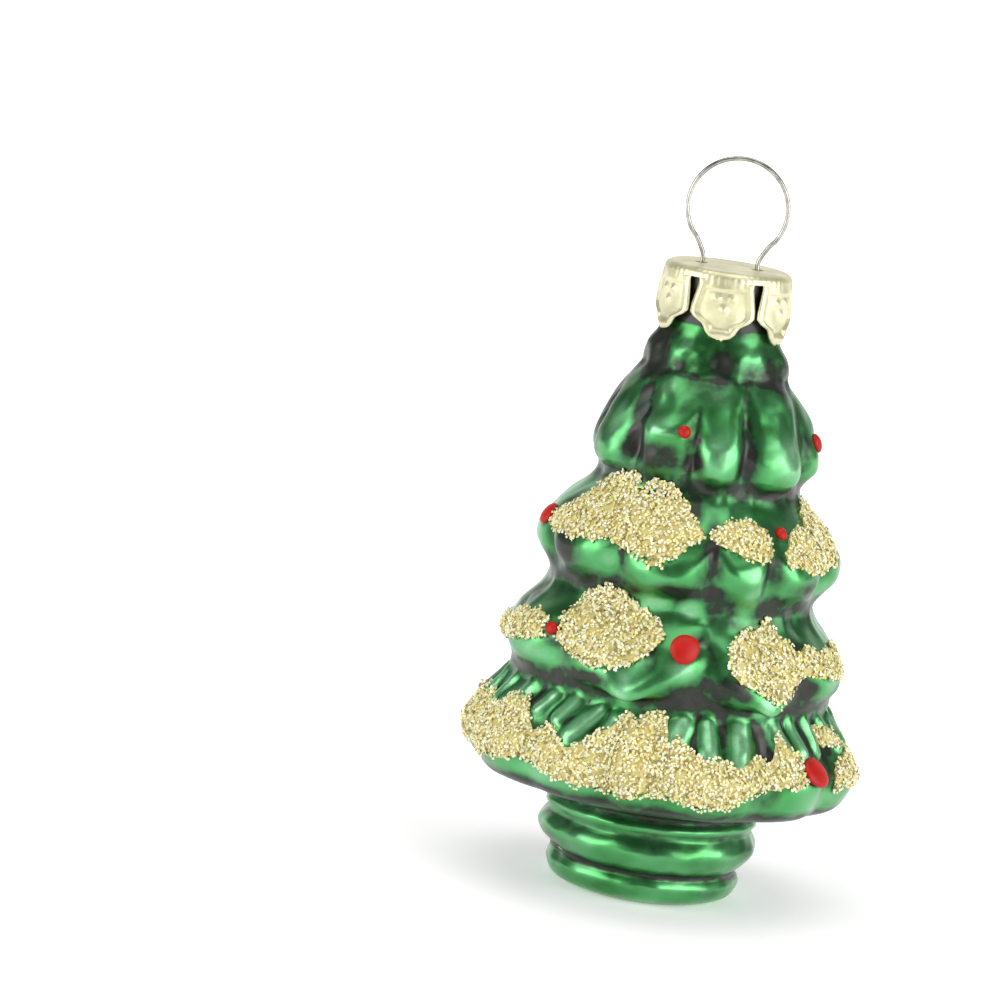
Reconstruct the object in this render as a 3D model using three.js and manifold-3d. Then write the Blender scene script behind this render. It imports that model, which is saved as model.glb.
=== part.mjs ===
// A small Christmas bauble: a hollow blown-glass fir tree with a ribbed pot, a pressed metal crown cap on
// its neck, a sprung wire hanger in the cap, glued-on glitter and drops of red enamel.
// Millimetres, +Z up, origin at the middle of the flat under the pot. An azimuth is in degrees round the
// tree, from 0 at the front (-Y), and grows towards +X.

import * as THREE from "three";
import { mergeVertices } from "three/addons/utils/BufferGeometryUtils.js";
import Module from "manifold-3d";

const wasm = await Module();
wasm.setup();

// Driving dimensions

// Glass shell. A rise is a height over the place named before it, from the foot's flat up to the neck.
const GLASS_WALL = 0.5;
const FOOT_FLAT_RADIUS = 7.0;
const FOOT_RING_RADIUS = 9.15;
const FOOT_RING_RISE = 1.9;
const LOW_GROOVE_RADIUS = 8.95;
const LOW_GROOVE_RISE = 1.1;
const POT_RING_RADIUS = 10.3;
const POT_RING_RISE = 2.1;
const HIGH_GROOVE_RADIUS = 9.7;
const HIGH_GROOVE_RISE = 1.7;
const TOP_RING_RADIUS = 10.0;
const TOP_RING_RISE = 0.8;
const CREASE_RADIUS = 9.6;
const CREASE_RISE = 0.8;
const UNDERSIDE_RADIUS = 10.4;
const UNDERSIDE_RISE = 0.9;
const SKIRT_LIP_RADIUS = 17.4;
const SKIRT_LIP_RISE = 1.9;
const NECK_RADIUS = 5.35;
const NECK_RISE = 1.5;
const NECK_LENGTH = 4.4;

// Tiers of branches from the skirt up. The hem is a tier's widest place and the waist the narrow one above
// it; hemRise is the hem's height over the waist below, or over the skirt's lip, and waistRise the waist's
// over the hem. Belly is how far the slope between them swells past a straight line. Each tier is a row of
// lobes with a groove between each two, as deep as groove. A lobe is written as the azimuth of the groove
// where it starts and how far its middle hangs under the hem's height.
const TIERS = {
  skirt: {
    hem: 18.6, hemRise: 3.4, waist: 15.0, waistRise: 5.4, belly: 0.4, groove: 1.2,
    lobes: [
      [-108, 0.8], [-75, 0.7], [-41, 0.9], [-14, 0.5], [0.5, 0.9], [37, 0.6], [62, 0.7], [95, 0.9], [128, 0.7],
      [160, 0.9], [192, 0.7], [222, 0.8],
    ],
  },
  lower: {
    hem: 16.25, hemRise: 3.8, waist: 12.45, waistRise: 5.0, belly: 0.75, groove: 1.3,
    lobes: [[-122, 1.4], [-82, 0.9], [-45, 2.3], [11, 2.3], [52, 1.1], [92, 1.8], [135, 2.2], [182, 1.6]],
  },
  middle: {
    hem: 14.3, hemRise: 4.7, waist: 9.55, waistRise: 5.6, belly: 0.9, groove: 1.1,
    lobes: [
      [-146, 1.4], [-108, 1.0], [-71, 1.2], [-29, 1.8], [11, 1.0], [36, 1.3], [72, 1.0], [108, 1.6],
      [144, 1.2], [178, 1.6],
    ],
  },
  upper: {
    hem: 10.75, hemRise: 3.9, waist: 7.0, waistRise: 5.7, belly: 0.8, groove: 1.3,
    lobes: [
      [-128, 1.4], [-84, 1.8], [-39, 0.6], [-5, 1.2], [25, 1.8], [72, 1.0], [112, 1.6], [150, 1.2],
      [190, 1.5],
    ],
  },
  crown: {
    hem: 7.15, hemRise: 1.5, waist: 5.6, waistRise: 2.7, belly: 0.3, groove: 0.5,
    lobes: [[-105, 0.1], [-50, 0.1], [3, 0.1], [52, 0.1], [103, 0.1], [154, 0.1], [205, 0.1]],
  },
};

// Crown cap
const CAP_SHEET = 0.3;
const CAP_CLEARANCE = 0.3;
const CAP_EDGE_RADIUS = 0.7;
const CAP_SKIRT_LENGTH = 6.2;
const CAP_FLARE = 0.3;
const CAP_SEAT_GAP = 0.3;
const PETAL_COUNT = 6;
const HOLE_CLEARANCE = 0.3;

// The gap between two petals, from its top to below their tips: [half its width, distance under the cap's
// top]. It closes to a slit where the petals' side lobes meet and opens round each petal's tip.
const PETAL_GAP = [
  [0.45, 0.85], [0.5, 1.3], [0.3, 2.4], [0.12, 3.3], [0.12, 4.0], [0.5, 4.4], [0.95, 4.65], [1.4, 4.9],
  [1.6, 5.2], [1.8, 5.6], [2.2, 6.0], [2.9, 6.5],
];

// Hanger wire
const WIRE_RADIUS = 0.25;
const RING_RADIUS = 4.65;
const RING_RISE = 5.4;
const LEG_SPREAD = 2.6;
const LEG_CLEARANCE = 1.75;
const LEG_TURN_IN = 0.35;
const LEG_LENGTH = 11.0;

// Glitter and enamel
const COAT_GAP = 0.15;
const GLITTER_THICKNESS = 0.5;
const DROP_HEIGHT = 0.55;
const DROP_TO_GLITTER = 0.3;

// Glitter patches, each a run of [azimuth, lower edge, upper edge]. The edges are shares of the height from
// its tier's hem, at 0, to its waist, at 1.
const GLITTER = {
  glitter_skirt_front: {
    tier: "skirt",
    edge: [
      [-106, -0.26, 0], [-97, -0.41, 0.37], [-90, -0.46, 0.54], [-76, -0.48, 0.48], [-65, -0.44, 0.39],
      [-59, -0.41, 0.67], [-53, -0.37, 0.76], [-47, -0.31, 0.44], [-43, -0.3, 0.24], [-38, -0.31, 0.48],
      [-33, -0.35, 0.31], [-28, -0.43, 0.15], [-24, -0.46, 0.28], [-20, -0.46, 0.54], [-17, -0.46, 0.61],
      [-13.5, -0.46, 0.89], [-8.8, -0.48, 0.85], [-3, -0.44, 0.93], [1.5, -0.41, 0.87], [2.7, -0.41, 0.48],
      [5, -0.41, 0.61], [10, -0.48, 0.44], [15, -0.52, 0.35], [20, -0.5, 0.35], [25, -0.37, 0.24],
      [30.5, -0.22, 0.39], [36, -0.17, 0.31], [38.5, -0.15, 0.2], [41.5, -0.13, 0.8], [44, -0.11, 0.57],
      [48, -0.04, 0.44], [51, 0.11, 0.31],
    ],
  },
  glitter_skirt_fleck: {
    tier: "skirt",
    edge: [
      [60.5, 0.56, 0.72], [64, 0.46, 0.81], [70, 0.43, 0.76], [75, 0.48, 0.61],
    ],
  },
  glitter_skirt_right: {
    tier: "skirt",
    edge: [
      [66.5, -0.26, 0.11], [70, -0.24, 0.24], [79, -0.22, 0.31], [90, -0.22, 0.44], [100, -0.22, 0.52],
      [110, -0.07, 0.22],
    ],
  },
  glitter_skirt_back_right: {
    tier: "skirt",
    edge: [
      [132, -0.26, 0.07], [142, -0.37, 0.52], [154, -0.35, 0.78], [166, -0.19, 0.7], [174, 0.07, 0.37],
    ],
  },
  glitter_skirt_back_left: {
    tier: "skirt",
    edge: [
      [208, -0.3, 0.11], [218, -0.39, 0.67], [230, -0.37, 0.56], [240, -0.15, 0.22],
    ],
  },
  glitter_lower_left: {
    tier: "lower",
    edge: [
      [-104, -0.28, -0.04], [-90, -0.36, 0.1], [-75, -0.24, 0.32], [-62, -0.1, 0.46], [-53, 0, 0.44],
      [-50, 0.08, 0.28],
    ],
  },
  glitter_lower_front: {
    tier: "lower",
    edge: [
      [-47.5, 0.08, 0.56], [-44, 0.04, 0.96], [-38, -0.08, 1.16], [-33, -0.14, 1.28], [-28, -0.18, 1.24],
      [-24, -0.22, 1.2], [-18, -0.2, 1.04], [-12, 0, 0.88], [-7, 0.28, 0.76], [-4.5, 0.48, 0.62],
    ],
  },
  glitter_lower_right: {
    tier: "lower",
    edge: [
      [20.5, 0.08, 0.52], [24, -0.08, 0.7], [28, -0.18, 0.78], [34, -0.36, 0.84], [39.5, -0.56, 1.04],
      [43, -0.38, 0.88], [47, -0.18, 0.64], [52, -0.04, 0.4], [57, 0, 0.54], [64, -0.06, 0.4],
      [73, -0.14, 0.44], [82, -0.08, 0.48], [88, 0.04, 0.32],
    ],
  },
  glitter_lower_back_right: {
    tier: "lower",
    edge: [
      [122, 0, 0.32], [132, -0.32, 0.72], [144, -0.36, 0.92], [154, 0.04, 0.52],
    ],
  },
  glitter_lower_back_left: {
    tier: "lower",
    edge: [
      [190, 0.04, 0.36], [202, -0.34, 0.64], [216, -0.36, 0.88], [228, -0.12, 0.52], [234, 0.08, 0.32],
    ],
  },
  glitter_middle_front: {
    tier: "middle",
    edge: [
      [-75, 0.04, 0.21], [-68, 0, 0.41], [-61, 0, 0.84], [-55, 0, 1.05], [-47, 0, 1.16], [-38, 0.07, 1.2],
      [-33, 0.13, 1.2], [-29.5, 0.07, 1.07], [-25, 0.02, 1.16], [-20, -0.05, 1.2], [-13, -0.21, 1.18],
      [-8, -0.14, 1.02], [-4, 0, 0.87], [0, 0.23, 0.71], [3.5, 0.34, 0.55], [5.5, 0.38, 0.46],
    ],
  },
  glitter_middle_centre: {
    tier: "middle",
    edge: [
      [8.7, 0.36, 0.5], [14, 0.3, 0.64], [20, 0.21, 0.7], [26, 0.13, 0.71], [33, 0.09, 0.64],
      [37, 0.23, 0.45],
    ],
  },
  glitter_middle_right: {
    tier: "middle",
    edge: [
      [43, 0.05, 0.3], [46, 0.02, 0.34], [50.5, -0.02, 0.6], [53, -0.05, 0.61], [62, -0.11, 0.59],
      [71, -0.13, 0.8], [80, -0.02, 0.98], [88, 0.36, 0.91], [93, 0.59, 0.8],
    ],
  },
  glitter_middle_back_right: {
    tier: "middle",
    edge: [
      [112, -0.07, 0.21], [122, -0.3, 0.54], [136, -0.25, 0.79], [148, 0.14, 0.71], [154, 0.32, 0.54],
    ],
  },
  glitter_middle_back_left: {
    tier: "middle",
    edge: [
      [198, -0.04, 0.25], [208, -0.29, 0.64], [222, -0.18, 0.75], [236, 0.18, 0.61],
    ],
  },
  glitter_upper_back: {
    tier: "upper",
    edge: [
      [152, -0.02, 0.23], [164, -0.23, 0.61], [180, -0.26, 0.82], [196, -0.05, 0.51], [204, 0.09, 0.3],
    ],
  },
};

// Drops of enamel: their tier, azimuth, place between its hem and its waist, as for glitter, and diameter.
const DROPS = {
  red_drop_upper_front: { tier: "upper", azimuth: -11, place: 0.32, size: 1.2 },
  red_drop_upper_right: { tier: "upper", azimuth: 88, place: 0.21, size: 1.9 },
  red_drop_middle_left: { tier: "middle", azimuth: -81, place: 0.14, size: 2.3 },
  red_drop_middle_right: { tier: "middle", azimuth: 44.5, place: 0.54, size: 1.3 },
  red_drop_lower_front: { tier: "lower", azimuth: 4, place: 0.38, size: 2.8 },
  red_drop_lower_left: { tier: "lower", azimuth: -49, place: 0.24, size: 1.3 },
  red_drop_skirt_right: { tier: "skirt", azimuth: 54, place: 0.13, size: 3.2 },
  red_drop_skirt_back: { tier: "skirt", azimuth: 190, place: 0.15, size: 2.4 },
  red_drop_lower_back: { tier: "lower", azimuth: 173, place: 0.32, size: 2.2 },
  red_drop_middle_back: { tier: "middle", azimuth: 180, place: 0.29, size: 2.2 },
  red_drop_upper_back: { tier: "upper", azimuth: -128, place: 0.26, size: 1.8 },
};

// Fineness of the meshes
const GLASS_COLUMNS = 64;
const GLASS_ROWS_PER_POINT = 2;
const BORE_COLUMNS = 32;
const BORE_ROWS_PER_POINT = 1;
const PATCH_STEP = 4;

// Solids

const radians = THREE.MathUtils.degToRad;

// The point at a radius and height on the given azimuth.
function around(azimuth, radius, height) {
  const turn = radians(azimuth);
  return new THREE.Vector3(radius * Math.sin(turn), -radius * Math.cos(turn), height);
}

// A manifold solid from a closed three.js geometry.
function solidOf(geometry) {
  const bare = geometry.clone();
  bare.deleteAttribute("normal");
  bare.deleteAttribute("uv");
  const merged = mergeVertices(bare, 1e-4);
  const corners = merged.index.array;
  const kept = [];
  for (let i = 0; i < corners.length; i += 3) {
    const [a, b, c] = corners.subarray(i, i + 3);
    if (a !== b && b !== c && c !== a) kept.push(a, b, c);
  }
  const vertProperties = new Float32Array(merged.attributes.position.array);
  return new wasm.Manifold(
    new wasm.Mesh({ numProp: 3, vertProperties, triVerts: new Uint32Array(kept) }),
  );
}

// A three.js geometry from a manifold solid.
function geometryOf(solid) {
  const mesh = solid.getMesh();
  const geometry = new THREE.BufferGeometry();
  geometry.setAttribute("position", new THREE.BufferAttribute(mesh.vertProperties, 3));
  geometry.setIndex(new THREE.BufferAttribute(mesh.triVerts, 1));
  geometry.computeVertexNormals();
  return geometry;
}

// A closed solid over rows of points, each row a ring of the same length. The first and the last row are
// closed by a point in their middle.
function solidOfRings(rows) {
  const columns = rows[0].length;
  const positions = rows.flat().flatMap((point) => point.toArray());
  const index = [];
  for (let row = 0; row + 1 < rows.length; row++)
    for (let column = 0; column < columns; column++) {
      const next = (column + 1) % columns;
      const here = row * columns;
      const above = here + columns;
      index.push(here + column, here + next, above + column);
      index.push(here + next, above + next, above + column);
    }
  const top = (rows.length - 1) * columns;
  const middleOf = (row) =>
    row.reduce((sum, point) => sum.add(point), new THREE.Vector3()).divideScalar(columns);
  positions.push(...middleOf(rows[0]).toArray(), ...middleOf(rows.at(-1)).toArray());
  const lowMiddle = rows.length * columns;
  for (let column = 0; column < columns; column++) {
    const next = (column + 1) % columns;
    index.push(lowMiddle, next, column, lowMiddle + 1, top + column, top + next);
  }
  const geometry = new THREE.BufferGeometry();
  geometry.setAttribute("position", new THREE.Float32BufferAttribute(positions, 3));
  geometry.setIndex(index);
  return solidOf(geometry);
}

// Glass

const lowGroove = FOOT_RING_RISE + LOW_GROOVE_RISE;
const potRing = lowGroove + POT_RING_RISE;
const highGroove = potRing + HIGH_GROOVE_RISE;
const topRing = highGroove + TOP_RING_RISE;
const crease = topRing + CREASE_RISE;
const underside = crease + UNDERSIDE_RISE;
const skirtLip = underside + SKIRT_LIP_RISE;

// The tiers with the heights of their hems and waists, and of the narrow place below each.
const tiers = {};
let below = underside;
let rise = skirtLip;
for (const [name, tier] of Object.entries(TIERS)) {
  const hemHeight = rise + tier.hemRise;
  const waistHeight = hemHeight + tier.waistRise;
  tiers[name] = { ...tier, below, hemHeight, waistHeight };
  below = waistHeight;
  rise = waistHeight;
}
const tierList = Object.values(tiers);
const neckFoot = tiers.crown.waistHeight + NECK_RISE;
const neckRim = neckFoot + NECK_LENGTH;

// The lobe of a tier at an azimuth: how far it hangs, and how full it is there, from 0 in the groove at
// its side to 1 in its middle.
function lobeAt(tier, azimuth) {
  const [first] = tier.lobes[0];
  const turn = azimuth - 360 * Math.floor((azimuth - first) / 360);
  const ends = [...tier.lobes.slice(1).map(([start]) => start), first + 360];
  const lobe = ends.findIndex((end) => turn < end);
  const [start, hang] = tier.lobes[lobe];
  const swell = Math.sin((Math.PI * (turn - start)) / (ends[lobe] - start));
  return { hang, full: 1 - (1 - swell) ** 1.5 };
}

// How strongly a tier shapes the glass at a height: 1 at its hem, 0 from the waists under and over it.
function reach(tier, height) {
  const toHem =
    height < tier.hemHeight
      ? (height - tier.below) / (tier.hemHeight - tier.below)
      : (1.5 * (tier.waistHeight - height)) / tier.waistRise;
  return THREE.MathUtils.smoothstep(toHem, 0, 1);
}

// A point on the outside of the glass, from the smooth profile's radius and height. With grooved set, it
// lies as deep as the grooves all round.
function glassPoint(radius, height, azimuth, grooved = false) {
  let r = radius;
  let z = height;
  for (const tier of tierList) {
    const share = reach(tier, height);
    const { hang, full } = grooved ? { hang: 0, full: 0 } : lobeAt(tier, azimuth);
    r -= tier.groove * share * (1 - full);
    z -= hang * share * full;
  }
  return around(azimuth, r, z);
}

// The smooth profile from the edge of the foot's flat up to the neck's rim, as radii and heights.
function glassProfile(rowsPerPoint) {
  const points = [
    [(FOOT_FLAT_RADIUS + FOOT_RING_RADIUS) / 2 + 0.5, FOOT_RING_RISE * 0.35],
    [FOOT_RING_RADIUS, FOOT_RING_RISE],
    [LOW_GROOVE_RADIUS, lowGroove],
    [POT_RING_RADIUS, potRing],
    [HIGH_GROOVE_RADIUS, highGroove],
    [TOP_RING_RADIUS, topRing],
    [CREASE_RADIUS, crease],
    [UNDERSIDE_RADIUS, underside],
    [(UNDERSIDE_RADIUS + SKIRT_LIP_RADIUS) / 2 + 0.6, (underside + skirtLip) / 2 - 0.3],
    [SKIRT_LIP_RADIUS, skirtLip],
  ];
  for (const tier of tierList) {
    points.push([tier.hem, tier.hemHeight]);
    points.push([(tier.hem + tier.waist) / 2 + tier.belly, (tier.hemHeight + tier.waistHeight) / 2]);
    points.push([tier.waist, tier.waistHeight]);
  }
  points.push([NECK_RADIUS, neckFoot]);
  const path = new THREE.Path();
  path.moveTo(FOOT_FLAT_RADIUS, 0);
  path.splineThru(points.map(([r, z]) => new THREE.Vector2(r, z)));
  path.lineTo(NECK_RADIUS, neckRim);
  return path.getPoints(rowsPerPoint);
}

// The glass's surface as rings of points, moved out of it by the given distance.
function glassRings(offset, columns, rowsPerPoint, grooved = false) {
  const profile = glassProfile(rowsPerPoint);
  const azimuths = Array.from({ length: columns }, (_, i) => (360 * i) / columns);
  const rings = profile.map((p) => azimuths.map((azimuth) => glassPoint(p.x, p.y, azimuth, grooved)));
  if (!offset) return rings;
  return rings.map((ring, row) =>
    ring.map((point, column) => {
      const before = ring[(column + columns - 1) % columns];
      const after = ring[(column + 1) % columns];
      const below = rings[Math.max(row - 1, 0)][column];
      const above = rings[Math.min(row + 1, rings.length - 1)][column];
      const outwards = after.clone().sub(before).cross(above.clone().sub(below)).normalize();
      return point.clone().addScaledVector(outwards, offset);
    }),
  );
}

// The hollow inside the glass, smooth all round, with the neck's bore running out through the rim.
function glassHollow() {
  const rings = glassRings(-GLASS_WALL, BORE_COLUMNS, BORE_ROWS_PER_POINT, true);
  const floor = rings[0].map((point) => new THREE.Vector3(point.x, point.y, GLASS_WALL));
  rings[0] = floor;
  const rim = rings.at(-1).map((point) => new THREE.Vector3(point.x, point.y, neckRim + GLASS_WALL));
  return solidOfRings([...rings, rim]);
}

function glassBody() {
  return solidOfRings(glassRings(0, GLASS_COLUMNS, GLASS_ROWS_PER_POINT)).subtract(glassHollow());
}

// Crown cap

const capTop = neckRim + CAP_SEAT_GAP + CAP_SHEET;
const capRadius = NECK_RADIUS + CAP_CLEARANCE + CAP_SHEET;

// A solid turned from a profile of radii and heights that starts and ends on the axis.
function turned(profile, segments) {
  const points = profile.map(([r, z]) => new THREE.Vector2(r, z));
  return solidOf(new THREE.LatheGeometry(points, segments).rotateX(Math.PI / 2));
}

// The pressed cup's surface, from the middle of its top to the end of its skirt, a sheet's thickness apart.
function cupProfile(inset) {
  const corner = CAP_EDGE_RADIUS - inset;
  const bend = [90, 60, 30, 0].map((angle) => [
    capRadius - CAP_EDGE_RADIUS + corner * Math.cos(radians(angle)),
    capTop - CAP_EDGE_RADIUS + corner * Math.sin(radians(angle)),
  ]);
  const flare = [0.3, 0.55, 0.8, 1].map((share) => [
    capRadius - inset + CAP_FLARE * Math.sin(share * 0.5 * Math.PI),
    capTop - CAP_EDGE_RADIUS - share * (CAP_SKIRT_LENGTH - CAP_EDGE_RADIUS),
  ]);
  return [[0, capTop - inset], ...bend, ...flare];
}

// What is cut away between two petals, standing on the azimuth halfway between them.
function petalGap(azimuth) {
  const right = PETAL_GAP.map(([half, under]) => new THREE.Vector2(half, capTop - under));
  const left = right.map((p) => new THREE.Vector2(-p.x, p.y)).reverse();
  const inner = NECK_RADIUS / 2;
  const depth = capRadius + CAP_FLARE + CAP_CLEARANCE - inner;
  const cutter = new THREE.ExtrudeGeometry(new THREE.Shape([...right, ...left]), {
    depth,
    bevelEnabled: false,
  });
  cutter.rotateX(Math.PI / 2).translate(0, -inner, 0).rotateZ(radians(azimuth));
  return solidOf(cutter);
}

function crownCap() {
  let cap = turned([...cupProfile(0), ...cupProfile(CAP_SHEET).reverse()].reverse(), 48);
  for (let petal = 0; petal < PETAL_COUNT; petal++)
    cap = cap.subtract(petalGap(((petal + 0.5) * 360) / PETAL_COUNT));
  const holeRadius = WIRE_RADIUS + HOLE_CLEARANCE;
  for (const side of [-1, 1]) {
    const hole = new THREE.CylinderGeometry(holeRadius, holeRadius, 4 * CAP_SHEET, 16);
    hole.rotateX(Math.PI / 2).translate(side * LEG_SPREAD, 0, capTop);
    cap = cap.subtract(solidOf(hole));
  }
  return cap;
}

// Hanger wire

// One half of the wire's path, from the leg's tip up to the top of the ring.
function halfWire() {
  const ringMiddle = capTop + RING_RISE;
  const bow = NECK_RADIUS - GLASS_WALL - LEG_CLEARANCE - WIRE_RADIUS;
  const tip = bow - LEG_TURN_IN;
  const leg = [
    [tip, capTop - LEG_LENGTH],
    [(tip + bow) / 2 + 0.1, capTop - LEG_LENGTH * 0.78],
    [bow, capTop - LEG_LENGTH * 0.55],
    [(LEG_SPREAD + bow) / 2 + 0.1, capTop - LEG_LENGTH * 0.32],
    [LEG_SPREAD, capTop - 1.2],
    [LEG_SPREAD, capTop - CAP_SHEET / 2],
    [LEG_SPREAD, capTop + 0.8],
  ];
  const ring = [];
  for (let angle = 45; angle <= 180; angle += 13.5)
    ring.push([RING_RADIUS * Math.sin(radians(angle)), ringMiddle - RING_RADIUS * Math.cos(radians(angle))]);
  return [...leg, ...ring];
}

function hangerWire() {
  const right = halfWire();
  const left = right.slice(0, -1).map(([x, z]) => [-x, z]).reverse();
  const points = [...right, ...left].map(([x, z]) => new THREE.Vector3(x, 0, z));
  const round = new THREE.EllipseCurve(0, 0, WIRE_RADIUS, WIRE_RADIUS);
  const wire = new THREE.ExtrudeGeometry(new THREE.Shape(round.getPoints(8).slice(1)), {
    extrudePath: new THREE.CatmullRomCurve3(points, false, "centripetal"),
    steps: 64,
    bevelEnabled: false,
  });
  return solidOf(wire);
}

// Glitter and enamel

// A curved block over a patch's outline, from inside the glass to outside the glitter.
function patchBlock({ tier, edge }) {
  const { hem, hemHeight, waist, waistRise, groove } = tiers[tier];
  const inner = waist - 2 * groove;
  const outer = hem + 2 * groove;
  const rings = [];
  for (let i = 0; i + 1 < edge.length; i++) {
    const [from, to] = [edge[i], edge[i + 1]];
    const steps = Math.max(1, Math.round((to[0] - from[0]) / PATCH_STEP));
    const last = i + 2 === edge.length ? 1 : 0;
    for (let step = 0; step < steps + last; step++) {
      const [azimuth, low, high] = from.map((value, k) => THREE.MathUtils.lerp(value, to[k], step / steps));
      const [lowEdge, highEdge] = [low, high].map((share) => hemHeight + share * waistRise);
      rings.push([
        around(azimuth, inner, highEdge),
        around(azimuth, outer, highEdge),
        around(azimuth, outer, lowEdge),
        around(azimuth, inner, lowEdge),
      ]);
    }
  }
  return solidOfRings(rings);
}

const glassUnderCoat = solidOfRings(glassRings(COAT_GAP, GLASS_COLUMNS, GLASS_ROWS_PER_POINT));
const glitterCoat = solidOfRings(
  glassRings(COAT_GAP + GLITTER_THICKNESS, GLASS_COLUMNS, GLASS_ROWS_PER_POINT),
).subtract(glassUnderCoat);

// The place on the glass at an azimuth, between a tier's hem, at 0, and its waist, at 1, with the
// direction straight out of the glass there.
function seatOnGlass(tier, azimuth, place) {
  const height = tiers[tier].hemHeight + place * tiers[tier].waistRise;
  const profile = glassProfile(8).filter((p) => p.y > underside);
  const at = (turn, rows) => {
    const points = profile.map((p) => glassPoint(p.x, p.y, turn));
    const nearest = points.reduce((best, p, row) => {
      return Math.abs(p.z - height) < Math.abs(points[best].z - height) ? row : best;
    }, 0);
    return points[nearest + rows];
  };
  const along = at(azimuth + 1, 0).sub(at(azimuth - 1, 0));
  const up = at(azimuth, 2).sub(at(azimuth, -2));
  return { seat: at(azimuth, 0), outwards: along.cross(up).normalize() };
}

// A flattened ball on the glass, grown by the given margin.
function dropBall({ tier, azimuth, place, size }, margin) {
  const { seat, outwards } = seatOnGlass(tier, azimuth, place);
  const ball = new THREE.SphereGeometry(1, 14, 10);
  ball.rotateX(Math.PI / 2);
  ball.scale(size / 2 + margin, size / 2 + margin, DROP_HEIGHT + margin);
  ball.applyQuaternion(new THREE.Quaternion().setFromUnitVectors(new THREE.Vector3(0, 0, 1), outwards));
  ball.translate(...seat.clone().addScaledVector(outwards, COAT_GAP).toArray());
  return solidOf(ball);
}

function enamelDrop(drop) {
  return dropBall(drop, 0).subtract(glassUnderCoat);
}

const dropRooms = Object.values(DROPS).map((drop) => dropBall(drop, DROP_TO_GLITTER));

function glitterPatch(patch) {
  const coat = glitterCoat.intersect(patchBlock(patch));
  return dropRooms.reduce((left, room) => left.subtract(room), coat);
}

// Materials

const greenMirrorGlass = new THREE.MeshStandardMaterial({ color: 0x0c5a2c, roughness: 0.28, metalness: 0.9 });
const paleGoldSheet = new THREE.MeshStandardMaterial({ color: 0xe6dfa6, roughness: 0.3, metalness: 1 });
const brightWire = new THREE.MeshStandardMaterial({ color: 0xcfc9a8, roughness: 0.25, metalness: 1 });
const goldGlitter = new THREE.MeshStandardMaterial({ color: 0xc9b45c, roughness: 0.55, metalness: 0.8 });
const redEnamel = new THREE.MeshStandardMaterial({ color: 0xc4161a, roughness: 0.3, metalness: 0 });

// Assembly

const bauble = new THREE.Group();

function add(name, solid, material) {
  const mesh = new THREE.Mesh(geometryOf(solid), material);
  mesh.name = name;
  bauble.add(mesh);
}

add("glass_body", glassBody(), greenMirrorGlass);
add("crown_cap", crownCap(), paleGoldSheet);
add("hanger_wire", hangerWire(), brightWire);
for (const [name, patch] of Object.entries(GLITTER)) add(name, glitterPatch(patch), goldGlitter);
for (const [name, drop] of Object.entries(DROPS)) add(name, enamelDrop(drop), redEnamel);

export default bauble;
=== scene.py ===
# The looks of a small Christmas bauble: a blown-glass fir tree with satin green lacquer, glitter and drops
# of red enamel, a pressed metal crown cap and a wire hanger.
# Lengths are written in millimetres and azimuths in degrees round the tree, from 0 at the front (-Y),
# growing towards +X. The finished meshes are in metres.

import math
import random

import bmesh
import bpy
import numpy as np
from mathutils import Matrix, Vector


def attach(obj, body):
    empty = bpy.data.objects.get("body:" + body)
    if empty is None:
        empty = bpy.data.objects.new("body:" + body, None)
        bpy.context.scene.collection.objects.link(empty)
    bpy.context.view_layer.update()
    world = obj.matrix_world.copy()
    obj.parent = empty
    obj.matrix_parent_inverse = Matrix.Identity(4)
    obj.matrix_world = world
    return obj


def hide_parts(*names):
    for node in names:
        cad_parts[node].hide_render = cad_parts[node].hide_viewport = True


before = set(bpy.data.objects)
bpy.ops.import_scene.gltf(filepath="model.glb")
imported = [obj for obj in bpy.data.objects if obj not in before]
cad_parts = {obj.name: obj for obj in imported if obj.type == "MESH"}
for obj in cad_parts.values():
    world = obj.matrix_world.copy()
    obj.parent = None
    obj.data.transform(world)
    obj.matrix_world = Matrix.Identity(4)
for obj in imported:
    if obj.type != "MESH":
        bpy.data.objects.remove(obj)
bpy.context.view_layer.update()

MM = 0.001
TINY = 1e-4
MERGE_DISTANCE = 1e-5

# Camera: its place in front of the bauble, its turn, dip and roll in degrees, and its lens.

CAMERA_DISTANCE = 500.0
CAMERA_HEIGHT = 115.0
CAMERA_TURN = 2.07
CAMERA_DIP = 9.135
CAMERA_ROLL = 7.98
LENS = 195.04
SENSOR_WIDTH = 36


def add_camera():
    turn, dip, roll = (math.radians(a) for a in (CAMERA_TURN, CAMERA_DIP, CAMERA_ROLL))
    forward = Vector((-math.sin(turn) * math.cos(dip), math.cos(turn) * math.cos(dip), -math.sin(dip)))
    level = Vector((math.cos(turn), math.sin(turn), 0))
    upright = level.cross(forward)
    right = math.cos(roll) * level + math.sin(roll) * upright
    up = right.cross(forward)
    camera = bpy.data.objects.new("camera", bpy.data.cameras.new("camera"))
    bpy.context.scene.collection.objects.link(camera)
    place = Vector((0, -CAMERA_DISTANCE, CAMERA_HEIGHT)) * MM
    camera.matrix_world = Matrix.Translation(place) @ Matrix((right, up, -forward)).transposed().to_4x4()
    camera.data.lens = LENS
    camera.data.sensor_width = SENSOR_WIDTH
    camera.data.clip_start = 0.01
    bpy.context.scene.camera = camera


add_camera()

# The glass's surface

GLASS_WALL = 0.5
NECK_RADIUS = 5.35
NECK_FOOT = 54.4
NECK_RIM = 58.8

# Where the lacquer ends under the cap and the neck is painted dark as the cap's shade, and how far a painted
# spot is filled in before it fades.
LACQUER_TOP = 53.6
SPOT_FILL = 1.25

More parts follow.
